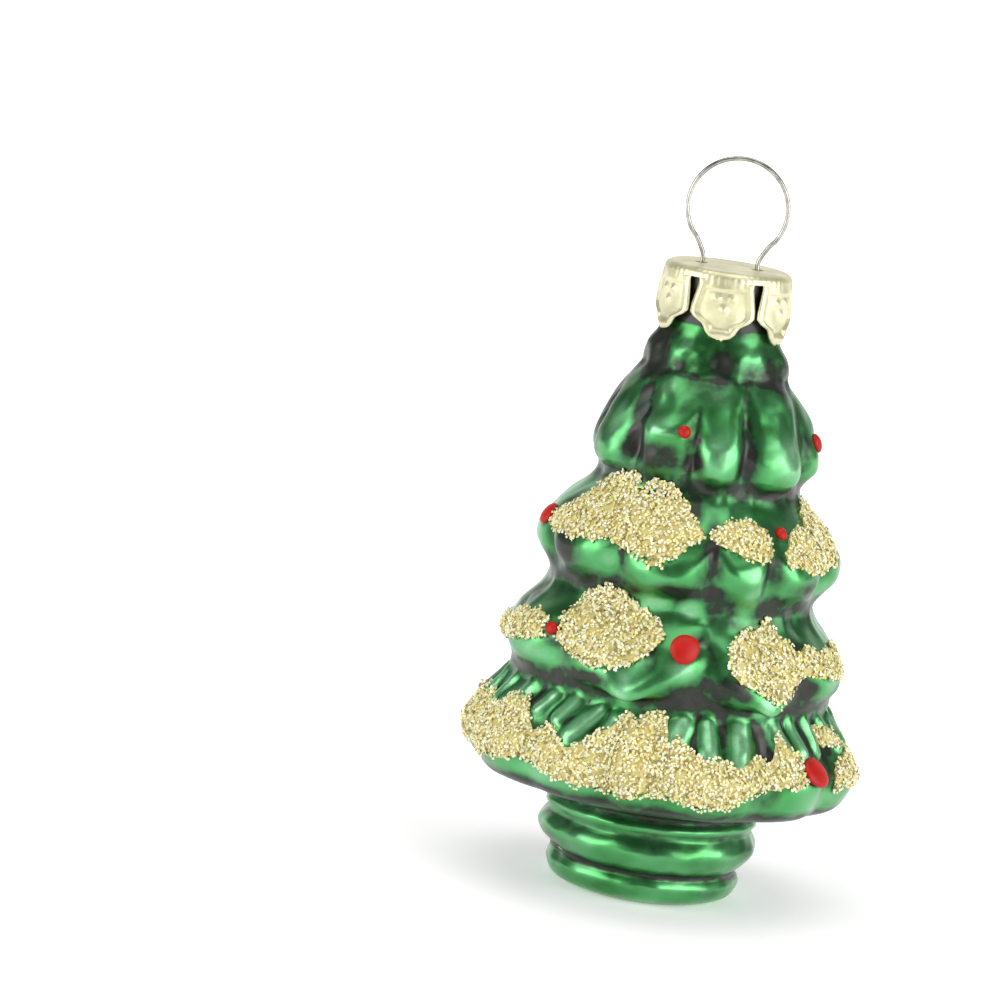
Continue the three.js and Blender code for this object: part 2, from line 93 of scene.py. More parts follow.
# Points of the profile as radius and height, from the foot's flat to the foot of the neck.
POT = [
    (7.0, 0.0), (8.575, 0.665), (9.15, 1.9), (8.95, 3.0), (10.3, 5.1), (9.7, 6.8), (10.0, 7.6), (9.6, 8.4),
    (10.4, 9.3), (14.5, 9.95), (17.4, 11.2),
]

# The tiers: hem and waist radii and heights, swell of the slope, depth of the grooves, the lobes as the
# azimuth where each starts and how far it hangs, and the drooping tips as azimuth, half width and droop.
TIERS = {
    "skirt": dict(
        below=9.3, hem=18.6, hem_z=14.6, waist=15.0, waist_z=20.0, belly=0.4, groove=1.2,
        lobes=[
            (-108, 0.8), (-75, 0.7), (-41, 0.9), (-14, 0.5), (-1, 0.9), (36.5, 0.6), (62, 0.7), (95, 0.9),
            (128, 0.7), (160, 0.9), (192, 0.7), (222, 0.8),
        ],
    ),
    "lower": dict(
        below=20.0, hem=16.25, hem_z=23.8, waist=12.45, waist_z=28.8, belly=0.75, groove=1.3,
        lobes=[
            (-122, 1.4), (-82, 0.9), (-45, 1.9), (11, 1.9), (52, 1.1), (92, 1.8), (135, 2.2), (182, 1.6),
        ],
        tips=[(-14, 7, 1.1), (37.5, 6, 1.2), (150, 8, 0.9)],
    ),
    "middle": dict(
        below=28.8, hem=14.3, hem_z=33.5, waist=9.55, waist_z=39.1, belly=0.9, groove=1.1,
        lobes=[
            (-146, 1.4), (-108, 1.0), (-71, 1.2), (-29, 1.8), (11, 1.0), (36, 1.3), (72, 1.0), (108, 1.6),
            (144, 1.2), (178, 1.6),
        ],
    ),
    "upper": dict(
        below=39.1, hem=10.75, hem_z=43.0, waist=7.05, waist_z=49.3, belly=0.8, groove=1.3,
        lobes=[
            (-128, 1.4), (-84, 1.8), (-39, 0.6), (-5, 1.2), (25, 1.8), (72, 1.0), (112, 1.6), (150, 1.2),
            (190, 1.5),
        ],
    ),
    "crown": dict(
        below=49.3, hem=6.65, hem_z=50.5, waist=5.6, waist_z=52.9, belly=0.2, groove=0.25,
        lobes=[(-105, 0.1), (-50, 0.1), (3, 0.1), (52, 0.1), (103, 0.1), (154, 0.1), (205, 0.1)],
    ),
}

# How round the grooves between the lobes are at the bottom, and how full the lobes are.
GROOVE_SOFTNESS = 0.22
LOBE_FULLNESS = 1.5

# How dark the lacquer is painted: patina and painted shade in the grooves, painted shade in the fold under
# each hem, at the waists and under the skirt, and darkness on the neck's rim; and how strong the needles'
# painted highlight is.
GROOVE_SHADE_AND_PATINA = 0.6
UNDER_HEM_SHADE = 0.8
WAIST_SHADE = 0.5
UNDERSIDE_SHADE = 0.9
RIM_PATINA = 0.3
NEEDLE_HIGHLIGHT = 0.9

# Crease lines of the pot: height, depth, half width and darkness of the shade painted in them.
CREASES = [(3.05, 0.3, 0.4, 1.0), (6.75, 0.12, 0.45, 0.45), (8.4, 0.25, 0.3, 0.9)]

# Soft bumps and hollows of the hand-blown glass: azimuth, height, half widths in degrees and millimetres,
# and how far the glass stands out there.
BUMPS = [
    (-27, 52.3, 15, 1.5, 0.35), (33, 52.5, 17, 1.5, 0.35), (5, 51.0, 13, 2.0, -0.25),
    (95, 50.7, 24, 1.1, 0.4), (95, 48.9, 20, 0.7, -0.15), (78, 52.0, 13, 1.5, 0.25),
    (-76, 52.0, 14, 1.5, 0.25), (150, 52.0, 16, 1.5, 0.3), (-140, 52.0, 16, 1.5, 0.3),
    (-30, 48.3, 10, 1.2, 0.4), (-45, 46.8, 10, 2.0, -0.3), (-24, 44.8, 13, 0.9, 0.4),
    (-21, 42.7, 16, 1.2, -0.35), (-40, 43.0, 6, 1.6, -0.4), (9, 43.6, 11, 1.6, 0.25),
    (-6, 46.0, 4, 2.0, 0.15), (27, 45.5, 5.5, 4.0, -0.35), (48, 43.0, 14, 2.0, 0.3),
    (55, 48.2, 14, 1.2, 0.2), (93, 46.0, 7, 1.5, 0.2), (11, 40.0, 3, 1.4, 0.18),
    (18, 38.8, 3, 1.4, 0.16), (32, 39.0, 3.5, 1.4, 0.16), (28, 30.2, 6, 1.6, 0.35),
    (22, 28.4, 4, 2.0, 0.25), (13.5, 26.0, 3, 2.6, -0.35), (-10, 29.2, 7, 0.8, 0.2),
    (4, 29.0, 5, 0.8, 0.2), (49, 28.4, 3, 1.8, 0.2), (73, 27.4, 3, 1.6, 0.2), (-70, 27.5, 3, 1.6, 0.2),
    (57, 28.2, 3, 1.8, -0.15),
]

# Needle ribs of the skirt, each from its upper to its lower end: azimuth, height, azimuth, height and
# half width.
NEEDLES = [
    (-55.4, 19.3, -57.8, 17.7, 0.95), (-42.0, 19.3, -45.0, 17.8, 0.72), (-32.5, 19.2, -36.2, 17.6, 0.8),
    (-22.4, 18.7, -29.0, 16.6, 0.85), (-16.5, 18.4, -17.8, 16.8, 0.7), (7.2, 18.9, 3.4, 17.2, 1.1),
    (15.7, 18.8, 15.8, 16.4, 0.95), (27.6, 18.9, 26.2, 16.1, 1.15), (41.5, 19.6, 44.5, 17.6, 0.75),
    (49.4, 19.6, 51.6, 17.2, 0.65), (59.0, 19.4, 61.5, 16.8, 0.6), (70.0, 19.2, 73.5, 17.0, 0.6),
    (80.5, 19.2, 84.5, 17.0, 0.6), (91.0, 19.2, 94.5, 17.0, 0.6), (-68.0, 19.2, -71.0, 17.2, 0.65),
    (-80.0, 19.4, -82.0, 17.0, 0.6), (-91.0, 19.2, -92.0, 17.0, 0.6),
]
NEEDLES += [(a, 19.5, a + lean, 16.8, 0.65) for a, lean in zip(range(104, 262, 10), [3, 1, -1, -3] * 4)]
NEEDLE_LIFT = 0.5
NEEDLE_RADIUS = 16.4
SLOPE_FOOT = 14.8
SLOPE_TOP = 20.2
SEAM_DEPTH = 0.12

# Seams between the needles and lines elsewhere, painted dark as shade, in the same form.
SEAMS = [
    (-1.0, 18.8, -1.9, 17.0, 0.45), (11.8, 19.6, 11.6, 16.6, 0.7), (20.8, 19.8, 22.0, 15.8, 0.75),
    (33.6, 19.4, 38.0, 15.9, 0.8), (46.2, 19.6, 47.8, 17.4, 0.35), (-48.6, 19.4, -50.4, 17.4, 0.35),
    (-37.4, 19.5, -40.2, 17.4, 0.28), (-27.6, 19.4, -32.6, 17.2, 0.28),
    (-19.4, 19.0, -22.8, 17.1, 0.35), (10.4, 35.6, 10.4, 32.6, 0.5), (-27.5, 35.0, -27.0, 32.6, 0.6),
    (55.0, 19.6, 56.4, 16.8, 0.5), (65.0, 19.6, 67.5, 16.8, 0.5),
]

# Painted shade over the lacquer, partly patina, in dark spots: azimuth, height, half widths in degrees and
# millimetres, and strength.
SHADE_AND_PATINA_SPOTS = [
    (4, 50.8, 20, 2.0, 0.75), (-20, 50.2, 20, 1.3, 0.75), (-66, 52.0, 28, 3.2, 0.8),
    (66, 50.4, 34, 2.4, 0.7), (-92, 46.4, 18, 4.5, 0.85), (12, 52.6, 18, 1.4, 0.5),
    (48, 51.6, 14, 1.0, 0.45), (-46, 53.0, 14, 1.6, 0.5), (14, 53.0, 14, 1.4, 0.4),
    (60, 52.8, 24, 2.0, 0.5), (32, 50.6, 26, 1.2, 0.55), (150, 51.0, 60, 2.0, 0.5),
    (-140, 51.0, 40, 2.0, 0.5), (10, 48.4, 60, 1.3, 0.4), (60, 48.2, 16, 1.4, 0.3),
    (4, 47.6, 9, 1.0, 0.25), (-52, 49.6, 24, 1.6, 0.7), (-45, 46.6, 9, 2.4, 0.85),
    (-42, 43.0, 7, 2.4, 0.8), (-24, 42.2, 19, 1.5, 0.8), (-5, 42.0, 8, 1.3, 0.9),
    (27, 47.0, 6, 3.4, 0.65), (26, 43.0, 6, 3.2, 0.85), (-76, 44.0, 12, 4.5, 0.65),
    (30, 54.0, 40, 1.2, 0.5), (-12, 46.6, 6, 2.0, 0.4), (5, 54.0, 30, 1.4, 0.6),
    (85, 51.0, 14, 2.4, 0.5), (76, 47.6, 8, 1.8, 0.4), (63, 39.6, 13, 1.0, 0.85),
    (-1, 38.4, 6, 1.7, 0.85), (-54, 32.2, 9, 1.7, 0.85), (-66, 31.0, 9, 1.4, 0.75),
    (40, 35.4, 3, 2.0, 0.6), (62, 31.4, 14, 1.3, 0.75), (0, 30.6, 10, 0.8, 0.85),
    (12.4, 30.8, 5, 0.9, 0.9), (60, 29.8, 12, 1.5, 0.6), (8, 21.6, 9, 1.3, 1.0),
    (18, 22.6, 9, 1.3, 1.0), (24, 22.2, 6, 1.0, 0.7), (-32, 21.7, 12, 0.7, 0.9),
    (-58, 20.7, 14, 0.9, 0.85), (54, 22.3, 8, 1.5, 0.9), (-80, 27.0, 12, 1.6, 0.6),
    (-7, 24.4, 4, 1.8, 0.6), (-44, 6.4, 14, 0.8, 0.4), (12, 6.0, 18, 0.7, 0.4),
    (-66, 4.0, 14, 1.0, 0.5), (70, 5.6, 14, 0.9, 0.4), (-20, 1.3, 20, 0.6, 0.35),
    (44, 1.6, 16, 0.6, 0.3), (80, 21.5, 12, 1.2, 0.7),
]

# Painted highlights: the lacquer painted pale where light falls on it, in the same form.
HIGHLIGHT_SPOTS = [
    (-24, 44.8, 10, 0.6, 0.6), (-30, 48.4, 7, 0.8, 0.7), (-10.5, 29.3, 7, 0.7, 0.8),
    (4.4, 29.0, 5, 0.9, 0.8), (28, 30.4, 4.5, 1.6, 0.6), (-15, 21.4, 2.2, 1.6, 0.9),
    (35, 21.2, 3, 1.3, 0.9), (-27, 52.4, 8, 1.0, 0.6), (33, 52.6, 9, 1.0, 0.4),
    (-57, 44.5, 6, 1.8, 0.7), (66, 23.1, 4, 1.0, 0.5), (4, 23.9, 5, 0.9, 0.9), (52, 43.2, 9, 1.7, 0.8),
    (8, 43.4, 6, 1.6, 0.5), (-84, 32.6, 4, 1.4, 0.6), (-32, 32.4, 4, 0.9, 0.6),
    (-52, 22.6, 9, 0.8, 0.6), (76, 31.2, 5, 1.0, 0.4), (-33, 18.6, 12, 1.0, 0.3),
    (27, 33.0, 4, 1.0, 0.4), (15, 13.2, 9, 0.8, 0.5), (62, 12.6, 10, 0.9, 0.5),
    (-38, 12.4, 8, 0.7, 0.5),
]


def smoothstep(t):
    t = np.clip(t, 0, 1)
    return t * t * (3 - 2 * t)


def spline_through(points, per_point):
    """Points along a uniform Catmull-Rom curve through the given ones."""
    p = np.array(points, float)
    count = per_point * (len(p) - 1)
    place = np.linspace(0, len(p) - 1, count + 1)
    first = np.minimum(place.astype(int), len(p) - 2)
    t = (place - first)[:, None]
    a = p[np.maximum(first - 1, 0)]
    a[first == 0] = p[0]
    b, c = p[first], p[first + 1]
    d = p[np.minimum(first + 2, len(p) - 1)]
    u, v = (c - a) * 0.5, (d - b) * 0.5
    return (2 * b - 2 * c + u + v) * t**3 + (-3 * b + 3 * c - 2 * u - v) * t**2 + u * t + b


def profile_points():
    """The pot's points and three for each tier: hem, middle of the slope and waist."""
    points = list(POT)
    for tier in TIERS.values():
        points.append((tier["hem"], tier["hem_z"]))
        middle = (tier["hem"] + tier["waist"]) / 2 + tier["belly"]
        points.append((middle, (tier["hem_z"] + tier["waist_z"]) / 2))
        points.append((tier["waist"], tier["waist_z"]))
    return points + [(NECK_RADIUS, NECK_FOOT)]


PROFILE = np.vstack([spline_through(profile_points(), 24), [[NECK_RADIUS, NECK_RIM]]])
PROFILE_ORDER = np.argsort(PROFILE[:, 1], kind="stable")


def lobes_at(tier, azimuth):
    """How far the lobe at each azimuth hangs, and how full it is there."""
    starts = np.array([s for s, _ in tier["lobes"]], float)
    hangs = np.array([h for _, h in tier["lobes"]], float)
    ends = np.append(starts[1:], starts[0] + 360)
    turn = (azimuth - starts[0]) % 360 + starts[0]
    lobe = np.clip(np.searchsorted(ends, turn, side="right"), 0, len(starts) - 1)
    share = (turn - starts[lobe]) / (ends - starts)[lobe]
    swell = np.sqrt(np.sin(math.pi * share) ** 2 + GROOVE_SOFTNESS**2) - GROOVE_SOFTNESS
    full = 1 - (1 - swell / (math.hypot(1, GROOVE_SOFTNESS) - GROOVE_SOFTNESS)) ** LOBE_FULLNESS
    return hangs[lobe], full


def offset(azimuth, turn):
    """The azimuth counted from another one, from -180 to 180 degrees."""
    return (azimuth - turn + 180) % 360 - 180


def share_of(tier, height):
    """How far up from the tier below to the hem a height is, and how much of the tier's lobes it has."""
    rising = (height - tier["below"]) / (tier["hem_z"] - tier["below"])
    falling = (tier["waist_z"] - height) / (tier["waist_z"] - tier["hem_z"])
    return rising, smoothstep(np.where(height < tier["hem_z"], rising, 1.5 * falling))


def blob(azimuth, z, spot):
    """A soft round spot: azimuth, height and half widths in degrees and millimetres."""
    off = offset(azimuth, spot[0])
    return np.exp(-((off / spot[2]) ** 2) - ((z - spot[1]) / spot[3]) ** 2)


def stroke(azimuth, z, radius, line):
    """A soft stroke along a line on the glass: azimuth, height, azimuth, height and half width."""
    scale = radius * math.pi / 180
    x = offset(azimuth, line[0]) * scale
    dx = (line[2] - line[0]) * scale
    dz = line[3] - line[1]
    t = np.clip((x * dx + (z - line[1]) * dz) / (dx * dx + dz * dz), 0, 1)
    return np.exp(-((x - t * dx) ** 2 + (z - line[1] - t * dz) ** 2) / line[4] ** 2)


def wobble(azimuth, height):
    """Slow unevenness of blown glass, in millimetres."""
    a = np.radians(azimuth)
    return (
        0.10 * np.sin(3 * a + 0.21 * height + 0.7)
        + 0.07 * np.sin(7 * a - 0.52 * height + 2.1)
        + 0.05 * np.sin(13 * a + 1.1 * height + 4.0)
        + 0.035 * np.sin(22 * a - 1.9 * height + 1.2) * np.sin(1.3 * height)
    )


def surface(height, azimuth):
    """Radius and height of the glass's outside at profile heights and azimuths, and its painted light there,
    from 1 for dark patina and painted shade to -1 for a painted highlight."""
    height, azimuth = np.broadcast_arrays(np.asarray(height, float), np.asarray(azimuth, float))
    r = np.interp(height, PROFILE[PROFILE_ORDER, 1], PROFILE[PROFILE_ORDER, 0])
    z = height.copy()
    painted_light_and_patina = np.zeros_like(r)
    painted_highlight = np.zeros_like(r)
    for tier in TIERS.values():
        rising, share = share_of(tier, height)
        hang, full = lobes_at(tier, azimuth)
        r = r - tier["groove"] * share * (1 - full)
        z = z - hang * share * full
        for turn, half_width, drop in tier.get("tips", []):
            z = z - drop * share * np.exp(-((offset(azimuth, turn) / half_width) ** 2))
        # Patina and painted shade in the grooves between the lobes.
        painted_light_and_patina = np.maximum(painted_light_and_patina, GROOVE_SHADE_AND_PATINA * smoothstep((share * (1 - full) - 0.1) / 0.7))
        # Painted shade in the fold under each hem, over the top of the tier below.
        if tier is not TIERS["skirt"]:
            under_hem = smoothstep((rising + 0.25) / 0.4) * smoothstep((0.85 - rising) / 0.6)
            painted_light_and_patina = np.maximum(painted_light_and_patina, UNDER_HEM_SHADE * under_hem)
        # Painted shade at each waist.
        waist = np.exp(-(((height - tier["waist_z"] + 0.2) / 0.9) ** 2))
        painted_light_and_patina = np.maximum(painted_light_and_patina, WAIST_SHADE * waist)
    # Painted shade under the skirt, over the pot's rim.
    underside = smoothstep((height - 8.0) / 0.6) * smoothstep((12.6 - height) / 2.0)
    painted_light_and_patina = np.maximum(painted_light_and_patina, UNDERSIDE_SHADE * underside)
    turn = np.radians(azimuth)
    # The pot's creases, with shade painted dark in them.
    for place, depth, width, darkness in CREASES:
        stray = 0.22 * np.sin(turn + place) + 0.1 * np.sin(3 * turn + 2 * place)
        dip = np.exp(-(((height - place - stray) / width) ** 2))
        r = r - depth * dip
        painted_light_and_patina = np.maximum(painted_light_and_patina, darkness * dip)
    for bump in BUMPS:
        r = r + bump[4] * blob(azimuth, z, bump)
    slope = smoothstep((height - SLOPE_FOOT) / 1.5) * smoothstep(SLOPE_TOP - height)
    needles = np.zeros_like(r)
    for line in NEEDLES:
        needles = np.maximum(needles, stroke(azimuth, z, NEEDLE_RADIUS, line))
    r = r + NEEDLE_LIFT * slope * (smoothstep((needles - 0.05) / 0.95) - 0.5)
    # Painted shade between the needles and a painted highlight on them.
    painted_light_and_patina = np.maximum(painted_light_and_patina, 0.12 * slope * smoothstep((0.45 - needles) / 0.4))
    painted_highlight = np.maximum(painted_highlight, NEEDLE_HIGHLIGHT * slope * smoothstep((needles - 0.1) / 0.7))
    # Seams pressed in, with shade painted dark along them.
    for line in SEAMS:
        mark = stroke(azimuth, z, r, line)
        r = r - SEAM_DEPTH * mark
        painted_light_and_patina = np.maximum(painted_light_and_patina, np.minimum(1, 1.3 * mark))
    # Spots of painted shade, partly patina.
    for spot in SHADE_AND_PATINA_SPOTS:
        painted_light_and_patina = np.maximum(painted_light_and_patina, spot[4] * np.minimum(1, SPOT_FILL * blob(azimuth, z, spot)))
    # Spots of painted highlight.
    for spot in HIGHLIGHT_SPOTS:
        painted_highlight = np.maximum(painted_highlight, spot[4] * np.minimum(1, SPOT_FILL * blob(azimuth, z, spot)))
    # The neck under the cap painted dark as the cap's shade.
    painted_light_and_patina = np.maximum(painted_light_and_patina, 1.5 * smoothstep((height - LACQUER_TOP) / 1.2))
    # Painted highlights lift the painted shade and go below zero.
    painted_light_and_patina = painted_light_and_patina * (1 - painted_highlight) - painted_highlight
    r = r + wobble(azimuth, height) * smoothstep(height / 3) * smoothstep((NECK_FOOT - height) / 3)
    return r, z, painted_light_and_patina


def points_at(height, azimuth):
    """Points on the glass's outside."""
    r, z, _ = surface(height, azimuth)
    a = np.radians(azimuth)
    return np.stack([r * np.sin(a), -r * np.cos(a), z], axis=-1)


# Small steps round and up the glass, between which its slope is taken.
TURN_STEP = 0.4
RISE_STEP = 0.06


def points_and_normals(height, azimuth):
    """Points on the glass's outside, with the way out of the glass at each."""
    here = points_at(height, azimuth)
    along = points_at(height, azimuth + TURN_STEP) - points_at(height, azimuth - TURN_STEP)
    up = points_at(height + RISE_STEP, azimuth) - points_at(height - RISE_STEP, azimuth)
    normal = np.cross(along, up)
    return here, normal / np.linalg.norm(normal, axis=-1, keepdims=True)


# More than any lobe hangs below its place on the profile, and how often that span is halved.
LONGEST_HANG = 3.6
HALVINGS = 14


def height_for(z, azimuth):
    """The profile height whose point on the glass lies at height z."""
    low = np.asarray(z, float) - 0.05
    high = low + LONGEST_HANG
    for _ in range(HALVINGS):
        middle = (low + high) / 2
        below = surface(middle, azimuth)[1] < z
        low = np.where(below, middle, low)
        high = np.where(below, high, middle)
    return (low + high) / 2


# Mesh helpers


def spun(profile, columns):
    """A profile of radius and height turned once round the tree's axis."""
    bm = bmesh.new()
    verts = [bm.verts.new((r, 0, z)) for r, z in profile]
    edges = [bm.edges.new(pair) for pair in zip(verts, verts[1:])]
    bmesh.ops.spin(
        bm, geom=verts + edges, cent=(0, 0, 0), axis=(0, 0, 1), angle=2 * math.pi, steps=columns,
        use_merge=True,
    )
    bmesh.ops.remove_doubles(bm, verts=bm.verts, dist=MERGE_DISTANCE)
    bmesh.ops.recalc_face_normals(bm, faces=bm.faces)
    return bm


def polar(bm):
    """Radius, azimuth and height of every vertex."""
    xyz = np.array([v.co[:] for v in bm.verts])
    return np.hypot(xyz[:, 0], xyz[:, 1]), np.degrees(np.arctan2(xyz[:, 0], -xyz[:, 1])), xyz[:, 2]


def put(bm, points):
    """Moves the vertices to new points."""
    for vert, point in zip(bm.verts, points):
        vert.co = point


def piece(name, bm, material, body, slot, *nodes):
    """A finished object from a mesh in millimetres."""
    bmesh.ops.scale(bm, vec=(MM, MM, MM), verts=bm.verts)
    mesh = bpy.data.meshes.new(name)
    bm.to_mesh(mesh)
    bm.free()
    mesh.polygons.foreach_set("use_smooth", [True] * len(mesh.polygons))
    mesh.materials.append(material)
    made = bpy.data.objects.new(name, mesh)
    bpy.context.scene.collection.objects.link(made)
    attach(made, body)
    if nodes:
        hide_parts(*nodes)
    return made


# Material helpers


class Nodes:
    """A node tree with short ways to add and link nodes."""

    def __init__(self, name):
        self.material = bpy.data.materials.new(name)
        self.material.use_nodes = True
        self.tree = self.material.node_tree
        self.shader = self.tree.nodes["Principled BSDF"]

    def add(self, kind, **settings):
        node = self.tree.nodes.new(kind)
        for key, value in settings.items():
            setattr(node, key, value)
        return node

    def link(self, source, target):
        self.tree.links.new(source, target)

    def noise(self, scale, detail=3.0, roughness=0.5):
        coords = self.add("ShaderNodeTexCoord")
        node = self.add("ShaderNodeTexNoise")
        node.inputs["Scale"].default_value = scale
        node.inputs["Detail"].default_value = detail
        node.inputs["Roughness"].default_value = roughness
        self.link(coords.outputs["Object"], node.inputs["Vector"])
        return node.outputs["Fac"]

    def attribute(self, name):
        node = self.add("ShaderNodeAttribute")
        node.attribute_name = name
        return node.outputs["Fac"]

    def math(self, operation, a, b=0.5, c=0.5, clamp=False):
        node = self.add("ShaderNodeMath", operation=operation, use_clamp=clamp)
        for socket, value in zip(node.inputs, (a, b, c)):
            if isinstance(value, (int, float)):
                socket.default_value = value
            else:
                self.link(value, socket)
        return node.outputs[0]

    def ramp(self, factor, *stops):
        node = self.add("ShaderNodeValToRGB")
        elements = node.color_ramp.elements
        while len(elements) < len(stops):
            elements.new(0.5)
        for element, (place, colour) in zip(elements, stops):
            element.position = place
            element.color = (*colour, 1)
        self.link(factor, node.inputs["Fac"])
        return node.outputs["Color"]

    def mix(self, factor, a, b):
        node = self.add("ShaderNodeMix", data_type="RGBA")
        colours = [s for s in node.inputs if s.type == "RGBA"]
        for socket, value in zip(colours, (a, b)):
            if isinstance(value, tuple):
                socket.default_value = (*value, 1)
            else:
                self.link(value, socket)
        self.link(factor, node.inputs["Factor"])
        return [s for s in node.outputs if s.type == "RGBA"][0]

    def range(self, value, low, high):
        node = self.add("ShaderNodeMapRange")
        node.inputs["To Min"].default_value = low
        node.inputs["To Max"].default_value = high
        self.link(value, node.inputs["Value"])
        return node.outputs[0]

    def seen(self):
        """One where a camera, glossy or transmission ray meets the surface, and nothing elsewhere."""
        path = self.add("ShaderNodeLightPath").outputs
        mirrored = self.math("MAXIMUM", path["Is Glossy Ray"], path["Is Transmission Ray"])
        return self.math("MAXIMUM", path["Is Camera Ray"], mirrored)

    def bump(self, height, strength, distance):
        node = self.add("ShaderNodeBump")
        node.inputs["Strength"].default_value = strength
        node.inputs["Distance"].default_value = distance
        self.link(height, node.inputs["Height"])
        self.link(node.outputs["Normal"], self.shader.inputs["Normal"])


# Materials


def lacquered_glass():
    """Satin green lacquer over silver, cloudy, with painted highlights on the crests and painted shade and
    patina in the folds.
    """
    m = Nodes("lacquered_glass")
    cloud = m.noise(230, 2, 0.5)
    fine = m.noise(1300, 4, 0.6)
    edge = m.math("MULTIPLY_ADD", cloud, 0.7, -0.35)
    mottle = m.math("MULTIPLY_ADD", m.noise(560, 2, 0.6), 1.8, 0.1)
    # How dark the painted shade and patina are, mottled by noise even on open lobes.
    dark = m.math("ADD", m.math("MULTIPLY", m.attribute("painted_light_and_patina"), mottle), edge, clamp=True)
    painted_highlight = m.math("MULTIPLY", m.attribute("painted_light_and_patina"), -1.0, clamp=True)
    green = m.ramp(
        cloud, (0.3, (0.045, 0.25, 0.06)), (0.5, (0.08, 0.37, 0.115)), (0.75, (0.15, 0.5, 0.21)),
    )
    # Pale green for the painted highlights.
    highlight_green = m.ramp(fine, (0.3, (0.2, 0.56, 0.27)), (0.7, (0.36, 0.72, 0.42)))
    # Dark green painted for shade.
    shade_green = m.ramp(cloud, (0.3, (0.008, 0.026, 0.009)), (0.7, (0.02, 0.055, 0.022)))
    # Near-black grey for the deepest painted shade and patina.
    shade_and_patina_grey = m.ramp(fine, (0.3, (0.014, 0.013, 0.011)), (0.7, (0.034, 0.031, 0.028)))
    # The lacquer's green, painted pale where highlights are painted.
    lacquer = m.mix(m.math("MULTIPLY", painted_highlight, 0.85), green, highlight_green)
    shaded = m.ramp(dark, (0.1, (0, 0, 0)), (0.7, (1, 1, 1)))
    deepest_shade_and_patina = m.ramp(dark, (0.55, (0, 0, 0)), (1.0, (1, 1, 1)))
    tone = m.mix(deepest_shade_and_patina, m.mix(shaded, lacquer, shade_green), shade_and_patina_grey)
    m.link(tone, m.shader.inputs["Base Color"])
    m.link(m.range(m.math("MAXIMUM", deepest_shade_and_patina, painted_highlight), 0.96, 0.6), m.shader.inputs["Metallic"])
    satin = m.math("ADD", m.math("MULTIPLY", cloud, 0.4), m.math("MULTIPLY", shaded, 0.6))
    m.link(m.range(satin, 0.28, 0.52), m.shader.inputs["Roughness"])
    m.shader.inputs["Coat Weight"].default_value = 0.4
    m.shader.inputs["Coat Roughness"].default_value = 0.2
    m.bump(cloud, 0.45, 0.0007)
    return m.material


def silver_coat():
    m = Nodes("silver_coat")
    cloud = m.noise(300, 3, 0.5)
    m.link(m.ramp(cloud, (0.3, (0.5, 0.5, 0.5)), (0.7, (0.8, 0.8, 0.78))), m.shader.inputs["Base Color"])
    m.link(m.range(cloud, 0.12, 0.3), m.shader.inputs["Roughness"])
    m.shader.inputs["Metallic"].default_value = 1.0
    return m.material


def pale_gold():
    m = Nodes("pale_gold_sheet")
    cloud = m.noise(420, 3, 0.5)
    fine = m.noise(2600, 2, 0.5)
    tone = m.ramp(cloud, (0.3, (0.64, 0.61, 0.37)), (0.7, (0.86, 0.83, 0.55)))
    m.link(tone, m.shader.inputs["Base Color"])
    m.link(m.range(fine, 0.3, 0.5), m.shader.inputs["Roughness"])
    m.shader.inputs["Metallic"].default_value = 0.62
    m.bump(fine, 0.15, 0.0001)
    return m.material


def bright_wire():
    m = Nodes("bright_wire")
    cloud = m.noise(900, 3, 0.6)
    tone = m.ramp(cloud, (0.35, (0.3, 0.29, 0.26)), (0.65, (0.55, 0.53, 0.48)))
    m.link(tone, m.shader.inputs["Base Color"])
    m.link(m.range(cloud, 0.18, 0.4), m.shader.inputs["Roughness"])
    m.shader.inputs["Metallic"].default_value = 1.0
    return m.material


def glitter_grains():
    """The glue at tints below 0.1, then grains from dark olive over gold to nearly white."""
    m = Nodes("glitter_grains")
    tint = m.attribute("tint")
    tone = m.ramp(
        tint, (0.1, (0.7, 0.61, 0.23)), (0.13, (0.34, 0.29, 0.09)), (0.22, (0.34, 0.29, 0.09)),
        (0.26, (0.88, 0.64, 0.34)), (0.33, (0.92, 0.84, 0.36)), (0.5, (1.0, 0.95, 0.48)),
        (0.85, (1.0, 0.99, 0.82)),
    )
    m.link(tone, m.shader.inputs["Base Color"])
    m.link(m.range(tint, 0.0, 0.35), m.shader.inputs["Metallic"])
    m.link(m.range(m.noise(3000, 2, 0.5), 0.25, 0.5), m.shader.inputs["Roughness"])
    return m.material


def red_enamel():
    m = Nodes("red_enamel")
    cloud = m.noise(700, 3, 0.5)
    tone = m.ramp(cloud, (0.3, (0.43, 0.006, 0.003)), (0.7, (0.58, 0.014, 0.007)))
    m.link(tone, m.shader.inputs["Base Color"])
    m.link(m.range(cloud, 0.35, 0.5), m.shader.inputs["Roughness"])
    m.shader.inputs["Specular IOR Level"].default_value = 0.3
    m.bump(m.noise(1600, 2, 0.5), 0.2, 0.0001)
    return m.material


GLASS = lacquered_glass()
SILVER = silver_coat()
GOLD = pale_gold()
WIRE = bright_wire()
GRAINS = glitter_grains()
ENAMEL = red_enamel()

# Glass

GLASS_COLUMNS = 340
GLASS_ROWS = 215
INNER_COLUMNS = 96
INNER_ROWS = 90
INNER_FLOOR = 1.0

# The hollow over the pot: the pot's rim and bore, and the slope of the skirt's underside.
POT_RIM = 9.3
POT_BORE = 8.7
UNDERSIDE_TOP = 13
UNDERSIDE_SLOPE = 2.1


